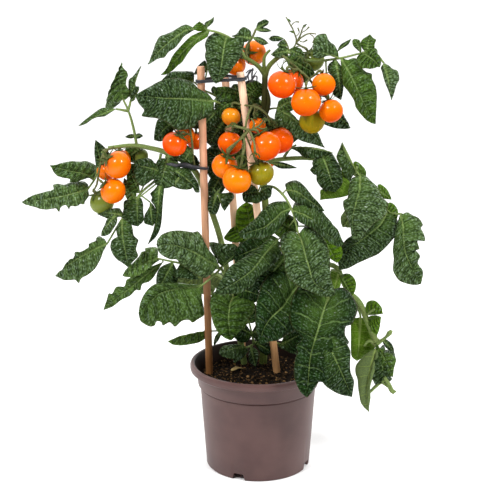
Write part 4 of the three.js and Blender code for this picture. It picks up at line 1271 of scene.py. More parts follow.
def leaf(node, stalks, leaflets, stem=(), girth=(), twigs=(), extra=None):
    """One compound leaf, or a leafy shoot if it has a stem."""
    lines = [through(stalk) for stalk in stalks]
    thick = [tapered(line, *LEAF_STALK) for line in lines] + [rod_line(twig) for twig in twigs]
    if stem:
        lines.append(through(stem))
        thick.append(tapered(lines[-1], *girth))
    if extra:
        leaflets = leaflets + paired(lines, **extra)
    blades, small = dressed(node, lines, leaflets)
    settle(joined([blades, rods(thick + small, STEM, 2)], node), node)


def paired(lines, count, long, wide, drop, which=0):
    """Leaflets in pairs along one of the stalks, one more at its end, all hanging a little."""
    line = lines[which]

    def at(t):
        spot = t * (len(line) - 1)
        low = min(int(spot), len(line) - 2)
        return line[low].lerp(line[low + 1], spot - low), (line[low + 1] - line[low]).normalized()

    def hung(foot, way, reach):
        return foot + (way - Vector((0, 0, drop))).normalized() * reach * MM

    end, ahead = at(1)
    blades = [(end, hung(end, ahead, long), wide * END_LEAFLET, UPWARD, {})]
    for i in range(count):
        foot, tangent = at(1 - FIRST_PAIR * (i + PAIR_START) / count)
        across = tangent.cross(UPWARD).normalized()
        for turn in (-1, 1):
            way = (across * turn + tangent * PAIR_FORWARD).normalized()
            size = 1 - PAIR_LOSS * ((i + turn + 1) % 3)
            blades.append((foot, hung(foot, way, long * size), wide * size, BACK, {}))
    return blades


print("A leaf's stalk goes from", LEAF_STALK[0], "to", LEAF_STALK[1], "mm in radius")

# %% Grow the leaves on the left
leaf("leaf_top_left", [[(246, 59, 6), (236, 43, 2), (222, 34, -2), (203, 29, -4)]], [
    cut((196, 29, -4), (147.5, 64.5, -20), HALF,
        [(186, 25), (178, 28), (169, 33), (160, 37), (155, 45), (152, 53), (149.5, 61)],
        [(191, 31), (184, 35), (180, 41), (175, 47), (168, 51), (164, 57), (160, 58)],
        [(186, 31), (172, 40), (158, 52)], light=0.5),
    cut((209, 33, -3), (161, 75, 6), FRONT,
        [(203, 31), (196, 34), (190, 37), (180, 47), (173, 56), (168, 66), (164, 72)],
        [(208, 36), (202, 40), (196, 44), (189, 52), (182, 62), (178, 65), (173, 70), (167, 74)],
        [(195, 40), (183, 52), (173, 64)], fold=0.3, yellow=0.65),
    cut((205, 26, -4), (214, 17, -6), FRONT, [(205, 23), (211, 19.5)], [(209, 26), (213, 22)], light=0.5),
    cut((207, 31, -5), (199, 21.5, -12), FRONT, [(207, 28), (203, 24)],
        [(203, 31), (198, 31), (193.5, 28), (196, 24)],
        yellow=0.6),
    cut((226, 37, -1), (216, 83.5, -17), FRONT,
        [(219, 32), (214, 33), (208, 37), (205, 44), (206, 50), (205, 56), (207, 63), (208, 70), (211, 77),
         (214, 82)],
        [(231, 39), (238, 37), (243, 38), (244, 44), (242, 51), (239, 59), (234, 66), (230, 72), (225, 76),
         (220, 81)],
        [(223.5, 50), (222, 62), (219.5, 74)], arch=0.06, light=0.4),
])
leaf("leaf_left_high", [
    [(137, 147, 0), (133, 126, 2), (128, 110, 4), (123, 99, 4)],
    [(128, 111, 4), (122, 110, 3), (116, 109, 1)],
    [(128, 111, 4), (130, 104, 5), (131, 99, 5)],
], [
    cut((121, 99, 4), (121.5, 62.5, 8), FRONT_LEFT,
        [(112, 109), (103.5, 107), (105, 98), (110, 91), (114, 83), (117, 76), (119, 68)],
        [(125, 100), (128, 94), (127, 85), (126, 76), (124, 69)], light=0.45, yellow=0.25),
    cut((116, 109.5, 1), (78.5, 126, -10), FRONT,
        [(110, 108), (104, 107.5), (99, 109.5), (93, 114), (85, 120)],
        [(111, 112), (104, 116.5), (99, 116.5), (93, 118.5), (86, 123.5)], light=0.5, yellow=0.2),
    cut((131, 98.5, 5), (141, 66, 8), FRONT, [(129, 96), (128.5, 90), (129, 80), (133, 76.5), (136.5, 72)],
        [(135, 93), (135.5, 86), (135, 80), (138, 73)], light=0.6, yellow=0.2),
    cut((132, 102.5, 3), (139, 86.5, -4), FRONT_RIGHT, [(131, 95), (134.5, 87.5)],
        [(134, 100.5), (136, 95.5), (139, 89.5)]),
    ((134, 136, 2), (125, 137, -4), 5, FRONT, {"light": 0.4}),
    ((134, 137, 2), (143, 136, -2), 6, FRONT, {}),
])
leaf("leaf_broad_left", [
    [(262, 117, 10), (248, 110, 15), (226, 105, 15), (214, 101, -8)],
    [(228, 106, 15), (216, 96, 14), (203, 90, 13)],
    [(203, 90, 13), (190, 108, 8), (174, 120, 4)],
], [
    cut((212, 100, -8), (135, 95.5, -30), FRONT,
        [(208, 94), (203, 91), (198, 88), (194, 83), (188, 80), (176, 78), (165, 79.5), (158, 82), (151, 86),
         (142, 91)],
        [(214, 108), (212.5, 113.5), (205, 118), (199, 120.5), (196, 126), (186, 129), (176, 129.5),
         (170.5, 125),
         (163.5, 120.5), (156.5, 118), (147, 116.5), (142, 115), (144.5, 109.5), (138.5, 103)],
        [(198, 99.5), (185, 98.5), (165, 98), (150, 96.5)], arch=0.05, light=0.25),
    cut((194, 82, 13), (162, 80, 15), HALF, [(194, 73), (189, 71), (179, 71), (169, 73), (164.5, 76.5)],
        [(185, 86), (175, 86), (167, 83)]),
    cut((208, 66, 18), (194, 74.5, 20), FRONT, [(205, 60.5), (200, 64), (196, 69)], [(206, 72), (199, 74)]),
    cut((224, 121, 13), (209, 144.5, 15), FRONT,
        [(218, 120), (213, 121), (210, 125), (208, 130), (206.5, 136), (207, 142)],
        [(227, 126), (223, 130), (219, 134), (217.5, 140), (214, 143.5)], light=0.2),
    cut((172, 121, 4), (154, 140, -4), FRONT, [(159, 119), (155, 129)], [(175, 126), (171, 134), (162, 141)]),
    cut((221, 107, 15), (202, 128, 12), FRONT, [(213, 110), (205, 118)],
        [(223, 117), (216, 127), (208, 131)]),
    cut((214, 101, 12), (190, 128, 16), FRONT, [(203, 104), (194, 114)], [(206, 118), (200, 128)],
        light=-0.05),
])
leaf("leaf_left_mid", [[(111, 147.5, 0), (98, 158, 19), (96, 176, 20), (88, 189, 12)]], [
    cut((93, 179.5, 19), (50, 165.5, 2), HALF,
        [(97.5, 168), (96, 165.5), (90.5, 161.5), (85, 160), (79.5, 161.5), (71, 161.5), (61, 162.5),
         (57, 164)],
        [(89, 178), (82, 179.5), (76.5, 181), (70, 182), (69.5, 179.5), (62.5, 177.5), (57, 174), (53, 170)],
        [(90.5, 177), (85, 174), (76.5, 172), (68, 170.5)], light=0.55, yellow=0.25),
    cut((88, 189.5, 12), (21.5, 202, -8), HALF,
        [(88.5, 188), (88, 184), (83.5, 180.5), (78, 180), (69, 181.5), (64, 184), (57, 183.5), (53, 185),
         (53.5, 188.5),
         (48.5, 189.5), (40, 191.5), (33, 195), (27.5, 198.5)],
        [(89, 195), (85, 200.5), (84, 204), (81, 203.5), (76.5, 207), (70.5, 207), (69, 210.5), (66, 206),
         (61, 207),
         (59, 212), (55.5, 208), (47, 210), (39, 209.5), (30.5, 206)],
        [(82, 191), (74, 193.5), (62.5, 196.5), (43, 200)], light=0.85, yellow=0.1),
    cut((104, 172, 14), (95.5, 140, 20), FRONT, [(97, 168), (95, 158), (94.5, 148)],
        [(108, 164), (109, 153), (102, 145)]),
])
leaf("leaf_left_low", [[(168, 152, 5), (160, 175, 2), (142, 192, -4), (124, 216, -10), (107, 244, -12)]], [
    cut((117, 214, -10), (101, 236, -22), HALF, [(109, 217), (105, 224), (102, 231)],
        [(117, 221), (115, 226), (110, 233), (105, 236)], light=0.5),
    cut((122, 214, -9), (97, 214, -2), HALF, [(119, 208), (110, 209)], [(119, 217), (108, 218.5)], light=0.4),
    cut((123, 219, -10), (128.5, 267.5, -22), FRONT,
        [(119, 224), (116.5, 229), (117, 234), (118, 240), (115, 238), (111.5, 241), (110.5, 247), (113, 254),
         (117, 259.5),
         (123, 263.5)],
        [(130, 220), (132.5, 228.5), (133.5, 235.5), (138, 240), (137, 244), (136, 249.5), (138, 256),
         (132.5, 262)],
        [(122, 232), (125, 250)], light=0.3),
    cut((106, 243, -12), (55, 276, -28), HALF,
        [(104.5, 238.5), (99, 235.5), (96, 237.5), (95.5, 241), (89, 244.5), (89, 248), (81, 251.5),
         (76.5, 251),
         (74, 252.5), (74.5, 258), (70, 259.5), (65.5, 265), (61, 270.5)],
        [(104.5, 249.5), (99.5, 260), (94, 268), (88, 274), (81, 279), (78.5, 283), (74, 279), (64, 279.5)],
        light=0.6, yellow=0.1),
    cut((136, 197, -6), (138, 226.5, -16), FRONT,
        [(125, 200.5), (123.5, 209), (122, 217), (127, 220), (132.5, 225)],
        [(141, 198), (143, 204), (143, 210), (143.5, 220)]),
    cut((150, 202, -4), (153, 226, -16), FRONT, [(149.5, 207.5), (145, 214.5), (144.5, 223)],
        [(154, 206), (156, 215), (155, 222)]),
])
leaf("leaf_left_inner", [
    [(170, 153, 5), (165, 166, -3), (161, 180, -6)], [(165, 166, -3), (173, 170, -4), (184, 177, -6)],
    [(161, 154, 2), (158, 164, 4), (151, 171, 6)],
], [
    cut((166, 158, 2), (152, 177, 6), FRONT, [(159, 159), (154, 168)], [(167, 166), (161, 175)], light=0.35),
    cut((184, 168, 2), (200, 163, 8), FRONT, [(188, 158), (195, 155)], [(188, 170), (196, 170)], light=0.1),
    cut((136, 200, -6), (124, 178, 2), FRONT, [(131, 203), (126, 197), (123, 187)], [(136, 192), (131, 184)],
        light=0.9, yellow=0.4),
    cut((161, 181, -6), (148, 244.5, -4), FRONT,
        [(155, 189), (150, 194), (152, 197.5), (151, 201.5), (155, 207), (155.5, 218), (153.5, 229.5),
         (150.5, 238)],
        [(164, 186), (163, 199), (162, 213), (160.5, 227), (156, 236.5)],
        [(159, 195), (158, 212), (155, 228)], light=0.15),
    cut((160, 172, -4), (133, 165, -8), HALF, [(152, 160), (143, 158), (137, 159.5)],
        [(152, 180), (143, 186), (136, 180), (133, 171)]),
    cut((171.5, 171, -4), (199.5, 192.5, -14), HALF, [(180, 168), (188.5, 168.5), (194, 176.5), (199, 186)],
        [(180, 177), (188, 180), (192.5, 186), (195.5, 192)]),
    cut((180, 177, -6), (172, 186, -4), HALF, [(180, 181), (176, 185)],
        [(188.5, 179), (192.5, 187.5), (188.5, 189.5), (180, 189)],
        light=0.5),
    cut((170, 156, 4), (160, 188, -8), FRONT, [(164, 160), (158, 170), (154, 181)],
        [(177, 160), (181, 172), (178, 183), (168, 188)],
        light=0.4, yellow=0.1),
    cut((140, 193, -5), (127, 165, -2), FRONT, [(130, 192), (127, 180)], [(139, 184), (140, 174), (134, 164)],
        light=0.25, yellow=0.3),
    ((169, 158, 3), (181, 158, -2), 8, HALF, {"light": 0.3}),
])
leaf("leaf_lower_left", [
    [(224, 262, 19), (221, 268, 2), (212, 277, -10), (200, 287, -16)],
    [(221, 268, 2), (204, 268, -9), (184, 264, -9), (155, 258, -4)],
    [(221, 268, 2), (229, 284, -6), (234, 298, -12)],
], [
    cut((219, 266, -7), (156.5, 244.5, -28), FRONT,
        [(216, 258), (209, 250), (204, 242), (202, 236.5), (198, 231.5), (194, 232.5), (179, 230.5),
         (169, 231.5),
         (162, 235), (157.5, 241)],
        [(216, 269), (212, 273), (205, 278), (197, 274.5), (190, 270), (181.5, 264.5), (177, 259.5),
         (171.5, 259.5),
         (164, 256), (159.5, 252)],
        [(208, 260.5), (194, 252), (180, 246.5), (169, 244.5)], arch=0.06, light=0.75),
    cut((222, 264, 6), (240, 250, -8), FRONT, [(214, 252), (208, 243.5), (219, 243), (232, 244.5)],
        [(230, 262), (238, 256)]),
    cut((158, 258, -5), (122.5, 275.5, -16), HALF,
        [(158, 247.5), (152, 246), (145, 248), (147, 250.5), (142, 252), (139, 256), (131, 264), (126, 270)],
        [(160, 259), (155, 262.5), (150, 268), (141, 273.5), (132, 277.5)], light=0.95, yellow=0.4),
    cut((163, 262, 0), (103.5, 310, -4), FRONT,
        [(153, 266), (147.5, 267.5), (136.5, 271.5), (130, 278), (126.5, 280), (124.5, 286.5), (119.5, 286.5),
         (115.5, 287.5), (112, 294), (108.5, 293.5), (107, 299.5)],
        [(156, 273), (154, 276.5), (149, 281.5), (142, 284), (140, 290.5), (135.5, 290), (130, 295.5),
         (121, 300),
         (112.5, 306.5)], light=0.8, yellow=0.4),
    cut((203, 286, -16), (138.5, 314, -36), FRONT,
        [(190, 284), (175, 283), (156, 284), (149, 288.5), (143.5, 295.5), (140, 304)],
        [(202, 297), (204, 308), (204, 315), (198, 319), (192.5, 322.5), (189.5, 320), (184, 320),
         (180.5, 322),
         (175.5, 326.5), (170, 322), (163, 325.5), (161.5, 322), (156.5, 321), (155, 325), (150.5, 326.5),
         (145, 324),
         (140.5, 320.5)],
        [(198, 286.5), (187, 287.5), (175, 289), (158, 295)], arch=0.06, light=0.42, yellow=0.25),
    cut((180, 264, -9), (198.5, 279, -14), HALF, [(186, 266), (191, 271.5), (197, 276)],
        [(174, 276), (184, 278), (191, 279.5)]),
    cut((172, 266, -8), (158, 292, -2), FRONT, [(160, 268), (156, 280)],
        [(178, 276), (174, 288), (166, 292)]),
    cut((229, 285, -8), (262, 296, -6), FRONT, [(236, 282), (248, 283), (256, 288)],
        [(234, 297), (246, 304), (256, 302)], light=-0.1),
    cut((232, 297, -12), (231, 340.5, -30), FRONT,
        [(222, 290), (213, 293), (210, 303), (212, 318), (214, 325), (218, 332), (225, 338)],
        [(242, 294), (249, 296), (254, 302), (254.5, 310), (249, 318), (245, 327), (239, 332), (233.5, 338)],
        [(230, 304), (228.5, 318), (229.5, 329.5)], light=0.2, yellow=0.35),
])
print("Grew seven leaves on the left")

# %% Grow the leaves in the middle and on the right
leaf("leaf_low_front", [
    [(262, 338, 29), (254, 344, 14), (246, 348, 2)],
    [(261, 340, 26), (272, 342, 16), (281, 344, 10)],
    [(254, 344, 14), (252, 334, 6), (249, 322, -2)],
], [
    cut((247, 347, 6), (219, 353.5, -2), HALF, [(239, 345), (228, 344.5), (221, 348)],
        [(240.5, 357.5), (231, 359), (222.5, 356)],
        light=0.4),
    cut((252, 347, 8), (255.5, 366.5, -4), FRONT, [(249, 351), (249, 360.5)], [(257.5, 350.5), (258.5, 356)],
        light=0.4),
    cut((249, 324, -2), (240, 299, -8), FRONT, [(242, 325), (238, 315), (237, 305)],
        [(256, 322), (258, 311), (252, 301)], light=-0.1),
    cut((252, 334, 6), (233, 324, -4), FRONT, [(248, 327), (240, 320)], [(249, 341), (240, 342), (233, 335)],
        light=-0.1),
    cut((252, 333, 6), (268, 327, 0), FRONT, [(256, 325), (263, 322)], [(256, 341), (265, 339), (270, 333)],
        light=-0.1),
    cut((256, 343, 12), (271, 352, 4), HALF, [(262, 341), (270, 345)], [(260, 351), (267, 355)], light=0.0),
    cut((281, 344, 10), (303, 333, -2), FRONT, [(284, 336), (292, 330), (300, 328)],
        [(288, 350), (296, 351), (303, 344)], light=-0.1),
    ((247, 348, 2), (234, 363, -8), 14, TOP, {}),
    ((279, 344, 12), (297, 355, 2), 13, TOP, {}),
])
leaf("leaf_front_right", [[(265, 186, 9), (277, 189, -14), (291, 208, -38), (299, 236, -56)]], [
    cut((286, 190, -22), (324.5, 211, -42), HALF,
        [(285, 183), (290, 180), (297, 180), (305, 187), (312, 195), (318, 202)],
        [(291, 198), (297, 203), (305, 205), (314, 209.5)], [(297, 192), (310, 201)]),
    cut((293, 209.5, -40), (344, 243.5, -62), FRONT_RIGHT,
        [(295, 201), (303, 199), (313, 203), (322, 210), (328.5, 217), (334, 225), (338, 229.5),
         (341.5, 237.5)],
        [(295, 216), (301, 223), (314, 229), (322, 236), (331.5, 244.5), (340, 246)],
        [(310.5, 218), (319, 227.5), (329, 236)], light=0.3),
    cut((316, 226, -36), (337, 263, -26), FRONT, [(318, 238), (324, 250), (331, 259)],
        [(328, 230), (339, 241), (342.5, 252), (341, 259)],
        light=0.1, yellow=0.95),
    cut((297, 232, -38), (274, 220, -20), FRONT, [(290, 238), (281, 238), (273, 231)],
        [(298, 222), (288, 214), (278, 214)],
        yellow=0.45),
    cut((299, 233.5, -56), (334, 296, -92), FRONT,
        [(291, 229.5), (282.5, 233), (280, 240), (281, 248.5), (284, 254), (284.5, 267), (288, 276.5),
         (298, 286.5),
         (309, 291.5), (322, 296)],
        [(305, 225), (312, 225), (319, 233), (326, 243), (329.5, 255.5), (330, 269.5), (331.5, 281),
         (334.5, 290.5)],
        [(302, 241.5), (305, 253), (309, 267), (315, 283.5)], arch=0.07, light=0.42),
    cut((288, 210, -38), (238.5, 234, -60), HALF,
        [(286.5, 201), (279.5, 201), (271, 203), (261.5, 210), (256, 217), (247.5, 225.5), (240.5, 231)],
        [(286.5, 217), (279.5, 228.5), (274, 234), (263, 238), (246, 239), (240.5, 237)],
        [(282.5, 211.5), (274, 220), (263, 228.5), (246, 232.5)]),
    cut((279, 239, -10), (234, 258, -8), FRONT, [(268, 234), (254, 236), (242, 243), (236, 250)],
        [(272, 250), (258, 260), (244, 266), (236, 265)], light=-0.1),
])
leaf("leaf_front_centre", [[(268, 252, 17), (277, 246, -20), (290, 262, -44), (302, 284, -56),
                            (329, 298, -72)]], [
    cut((277.5, 240, -24), (214.5, 293.5, -62), FRONT,
        [(268.5, 239.5), (254.5, 251), (239, 260.5), (229, 267.5), (223.5, 276), (218, 286)],
        [(280, 241), (280, 248), (282, 252.5), (278.5, 259.5), (270, 268), (259, 276.5), (253, 285),
         (242, 292), (233.5, 294)],
        [(268.5, 249.5), (260, 260.5), (250, 272), (232, 284.5)], arch=0.07, light=0.22),
    cut((287, 256, -26), (257, 290, -22), FRONT, [(276, 252), (264, 262), (254, 276), (252, 286)],
        [(292, 266), (291, 280), (282, 290), (268, 294)], light=-0.1),
    cut((297, 286, -44), (260, 344.5, -78), FRONT,
        [(290, 271), (281, 266), (271, 272), (262, 284), (257.5, 298), (255.5, 312), (255.5, 325),
         (257.5, 336)],
        [(297, 292), (296, 305), (299, 318), (295, 330), (288, 334), (278, 340), (269, 341.5)],
        [(289.5, 296), (282.5, 307), (270, 319), (263, 331)], arch=0.06, light=-0.05),
    cut((328, 299, -71), (307, 397.5, -108), FRONT,
        [(319, 291), (308, 287), (299, 286.5), (294, 294), (291, 303), (289.5, 318), (292.5, 327),
         (298, 332.5), (303, 338),
         (298, 344), (295.5, 346.5), (298, 352), (295, 360), (294, 372), (295.5, 381), (300.5, 392)],
        [(334, 289), (344, 287), (352, 294), (358, 306), (356, 316), (351, 325), (346, 326), (345, 334.5),
         (349.5, 342.5),
         (345.5, 346), (348.5, 353), (346.5, 356.5), (342, 366), (334, 376), (328, 384), (320, 381.5),
         (316.5, 385), (312, 392)],
        [(323, 313), (319, 327), (313.5, 345), (310, 360)], arch=0.06, fold=-0.4, light=-0.15),
    cut((322, 330, -82), (352, 397, -100), FRONT,
        [(318, 350), (318, 370), (324, 384), (333, 391), (342, 395)],
        [(340, 336), (350, 350), (350, 364), (350.5, 372.5), (354, 382)], light=0.05),
])
leaf("leaf_crown_back", [
    [(262, 103, 11), (254, 97, 20), (246, 95, 15), (236, 97, 13)],
    [(236, 97, 13), (224, 92, 12), (214, 94, 10)],
], [
    ((216, 94, 10), (213, 86, 8), 7, FRONT, {}),
    ((240, 97, 12), (214, 101, 6), 10, FRONT, {}),
    ((232, 98, 13), (214, 108, 12), 13, FRONT, {"light": 0.4}),
    ((238, 96, 14), (234, 84, 24), 14, FRONT, {}),
    cut((246, 96, 16), (212.5, 90, 10), FRONT, [(238, 90), (228, 87), (218, 87)],
        [(240, 103), (230, 105), (220, 100)],
        light=0.25, yellow=0.35),
    cut((238, 99, 14), (216, 113, 8), FRONT, [(230, 99), (221, 102)], [(238, 108), (230, 116), (221, 118)],
        yellow=0.3),
    cut((247, 98, 18), (262, 84, 16), FRONT, [(245, 88), (250, 82), (257, 81)], [(258, 98), (264, 91)],
        light=0.4, yellow=0.4),
    cut((248, 98, 18), (263, 123, 16), FRONT, [(245, 108), (250, 120)], [(258, 98), (266, 106), (268, 117)],
        light=0.05),
    ((253, 96, 21), (249, 80, 28), 22, FRONT, {}),
    ((252, 97, 20), (257, 120, 25), 18, FRONT, {}),
    ((246, 97, 20), (240, 118, 25), 18, FRONT, {}),
])
leaf("leaf_centre_back", [[(262, 132, 13), (250, 140, 26), (236, 152, 39), (222, 172, 42)]], [
    ((228, 163, 41), (206, 150, 38), 24, FRONT, {}),
    ((222, 172, 42), (209, 196, 36), 20, FRONT, {}),
    cut((221, 172, 42), (206, 160, 36), FRONT, [(214, 163), (208, 158)], [(213, 180), (207, 172)],
        light=-0.05),
    cut((240, 149, 37), (214, 126, 30), FRONT, [(229, 151), (216, 149), (206, 141), (207, 130)],
        [(240, 136), (234, 124), (224, 118)], light=-0.05),
    cut((246, 146, 33), (246, 118, 26), FRONT, [(240, 138), (236, 126)], [(256, 140), (258, 126)],
        light=-0.05),
    ((238, 151, 38), (254, 172, 32), 24, FRONT, {}),
    ((224, 168, 41), (242, 192, 36), 24, FRONT, {}),
])
leaf("leaf_right_upper", [
    [(286, 51, 7), (306, 60, 5), (335, 59, 0), (362, 53, -4)], [(362, 53, -4), (374, 53, -6), (384, 63, -6)],
], [
    cut((338, 54, 0), (313, 51, -8), FRONT,
        [(336, 46.5), (331, 42.5), (327, 38), (326, 34), (319, 34.5), (314, 39.5), (313, 46)],
        [(331, 54.5), (321, 58), (314, 57)], light=0.6),
    cut((337, 52, 0), (351, 39, -8), FRONT, [(341, 44.5)], [(341, 49), (348, 44.5)]),
    cut((366, 52, -4), (370, 34.5, 2), FRONT, [(362, 48), (361, 42), (364.5, 38)],
        [(374, 49.5), (374.5, 44), (376, 39.5), (373, 37.5)],
        light=0.35, yellow=0.45),
    cut((361, 52, -4), (354, 39, -8), FRONT, [(356, 48.5), (353, 45), (352.5, 41)],
        [(361, 46), (360, 41.5), (358, 39.5)], light=0.4, yellow=0.4),
    cut((362, 53, -4), (380, 67, -16), HALF, [(366, 51), (375, 48), (377.5, 50), (378, 54), (381, 60.5)],
        [(357, 57), (357.5, 62), (361.5, 69), (366, 67.5), (374, 68)], yellow=0.4),
    cut((384.5, 63, -6), (391.5, 100, -6), FRONT,
        [(381, 67.5), (382.5, 72), (384, 79), (385.5, 83.5), (389, 91.5)],
        [(389.5, 66), (392.5, 69), (397.5, 71), (399, 79.5), (396.5, 85), (394.5, 91.5)], light=0.75),
    cut((341, 60, -1), (375.5, 124, -16), FRONT,
        [(348.5, 60), (352.5, 58), (356.5, 58.5), (360, 66), (366, 72), (371.5, 74), (372, 79), (375.5, 86),
         (377, 94),
         (376.5, 104), (376, 112.5)],
        [(342, 76), (343.5, 84.5), (347.5, 90), (354, 100), (356, 107), (360, 112.5), (366, 119.5),
         (371.5, 123)],
        [(349, 72), (354.5, 83), (361.5, 98.5), (370, 114)], arch=0.06, light=0.3, yellow=0.4),
    cut((336, 61, 0), (341, 100, 2), FRONT, [(330, 63), (328, 66), (328.5, 72), (335, 81.5), (333, 94)],
        [(342, 68), (344, 80), (343.5, 87), (342.5, 94)]),
    cut((328, 108, 6), (350.5, 128, 12), FRONT, [(335, 108), (342.5, 113), (347.5, 122)],
        [(318, 120), (325, 124.5), (335, 128), (345, 129)]),
])
print("Grew six leaves in the middle and on the right")

# %% Grow the leaves at the back
BACK_LEAVES = {
    "leaf_back_high": ([(262, 128, 14), (256, 121, 52), (248, 115, 90), (242, 118, 128)], 46, 28),
    "leaf_back_middle": ([(268, 272, 20), (275, 262, 60), (285, 262, 100), (292, 272, 136)], 50, 33),
    "leaf_back_left": ([(227, 282, 21), (216, 274, 58), (202, 276, 92), (190, 286, 120)], 46, 30),
}
for node, (stalk, long, wide) in BACK_LEAVES.items():
    leaf(node, [stalk], [], extra={"count": 2, "long": long, "wide": wide, "drop": 0.5})
print("Grew three leaves at the back")

# %% Grow the two leafy shoots
leaf("shoot_right", [
    [(284, 157, 27), (290, 149, 26), (296, 145, 22)],
    [(322, 158, 19), (324, 166, 8), (326, 172, 4)],
    [(350, 171, 9), (348, 180, 18), (346, 188, 18)],
    [(355, 175, 8), (356, 171, 0), (357, 167, -6)],
    [(384, 208, 8), (392, 213, 4), (402, 214, 0)],
    [(366, 185, 10), (366, 196, 40), (364, 210, 66)],
], [
    cut((291, 147, 25), (333, 153, 8), HALF, [(298, 147), (306.5, 149), (319, 151)],
        [(290, 148), (298, 151.5), (303.5, 157), (312, 158.5), (322, 156)]),
    cut((322, 154, 12), (335, 192, -6), FRONT,
        [(318, 156), (312.5, 162), (314, 169), (316.5, 174.5), (317, 181), (322, 188)],
        [(331, 153), (336, 160), (340, 166), (342, 175), (342, 184)], light=0.2),
    cut((343, 170, 10), (320, 200, 8), HALF, [(338, 178), (328, 190), (321, 190)],
        [(349, 180), (350, 188), (347.5, 195.5), (335, 198)],
        yellow=0.8, turned=True),
    cut((357, 174, -2), (342, 142.5, -4), FRONT,
        [(349.5, 184), (346, 180), (343.5, 173), (340.5, 166), (336.5, 158), (337.5, 153), (340, 148.5)],
        [(355, 169), (349.5, 162), (344.5, 155), (343, 150)], light=0.55, yellow=0.15),
    cut((355, 172, 3), (366, 176, 12), FRONT, [(354, 163), (356, 161.5), (361.5, 165), (365, 169)],
        [(358, 176), (362, 177)],
        light=0.5, yellow=0.7),
    cut((360, 176, -5), (357.5, 241, -36), FRONT,
        [(352, 178), (349, 188), (347.5, 198.5), (343.5, 201), (343.5, 207), (347, 216.5), (350, 225),
         (351.5, 235), (354, 239)],
        [(366, 176), (371.5, 181.5), (376.5, 186), (380, 194), (384, 198.5), (388, 202.5), (387.5, 209.5),
         (384, 216.5),
         (375.5, 222), (368.5, 229), (363, 236), (359.5, 240.5)],
        [(360, 181.5), (359.5, 190), (356.5, 201), (354, 211), (352.5, 222)], arch=0.07, light=0.55),
    cut((378, 190, 16), (391.5, 199.5, 14), FRONT, [(377.5, 185), (381, 184.5), (387, 189.5), (389.5, 194)],
        [(380, 195), (384, 198.5)],
        light=0.5, yellow=0.75),
    cut((387, 205, 8), (396.5, 220, 4), FRONT, [(389, 202.5), (394, 204.5), (397.5, 209.5), (398, 215)],
        [(388, 212), (391, 215)],
        light=0.5, yellow=0.7),
    cut((388, 211, 7), (339.5, 270, -16), FRONT,
        [(380, 214), (370, 222), (358, 232), (347, 239), (341, 247), (337.5, 258)],
        [(395, 213), (398, 223.5), (396.5, 229), (394, 237.5), (392, 240), (386, 247), (378, 254),
         (368, 258.5), (358, 263), (348.5, 268)],
        [(385, 216.5), (380, 225), (370, 233.5), (359, 242), (347.5, 250)], light=0.3),
    cut((400, 218, 0), (421, 284, -24), FRONT,
        [(396, 228), (394.5, 236), (393, 250), (394, 258.5), (393, 269.5), (396, 276.5), (400, 281),
         (408.5, 284), (416, 285)],
        [(401, 215), (407, 212), (412, 215), (419, 218), (423, 224.5), (421, 228), (424, 233.5), (425, 241),
         (417.5, 240.5),
         (419.5, 249), (416, 250), (420.5, 256), (418, 263), (423, 271.5)],
        [(403, 226.5), (403.5, 239), (405.5, 253), (413, 270)], light=0.5, yellow=0.1),
    ((325, 170, 5), (310, 170, 6), 12, FRONT_LEFT, {}),
    ((328, 171, 5), (328, 194, 6), 13, FRONT, {}),
], stem=[
    (263, 165, 11), (272, 161, 22), (290, 158.5, 28), (312, 158.5, 24), (333, 163, 14), (352, 172, 8),
    (370, 190, 10), (386, 210, 8),
], girth=(2.7, 1.7), extra={"count": 2, "long": 38, "wide": 26, "drop": 0.8, "which": 5})
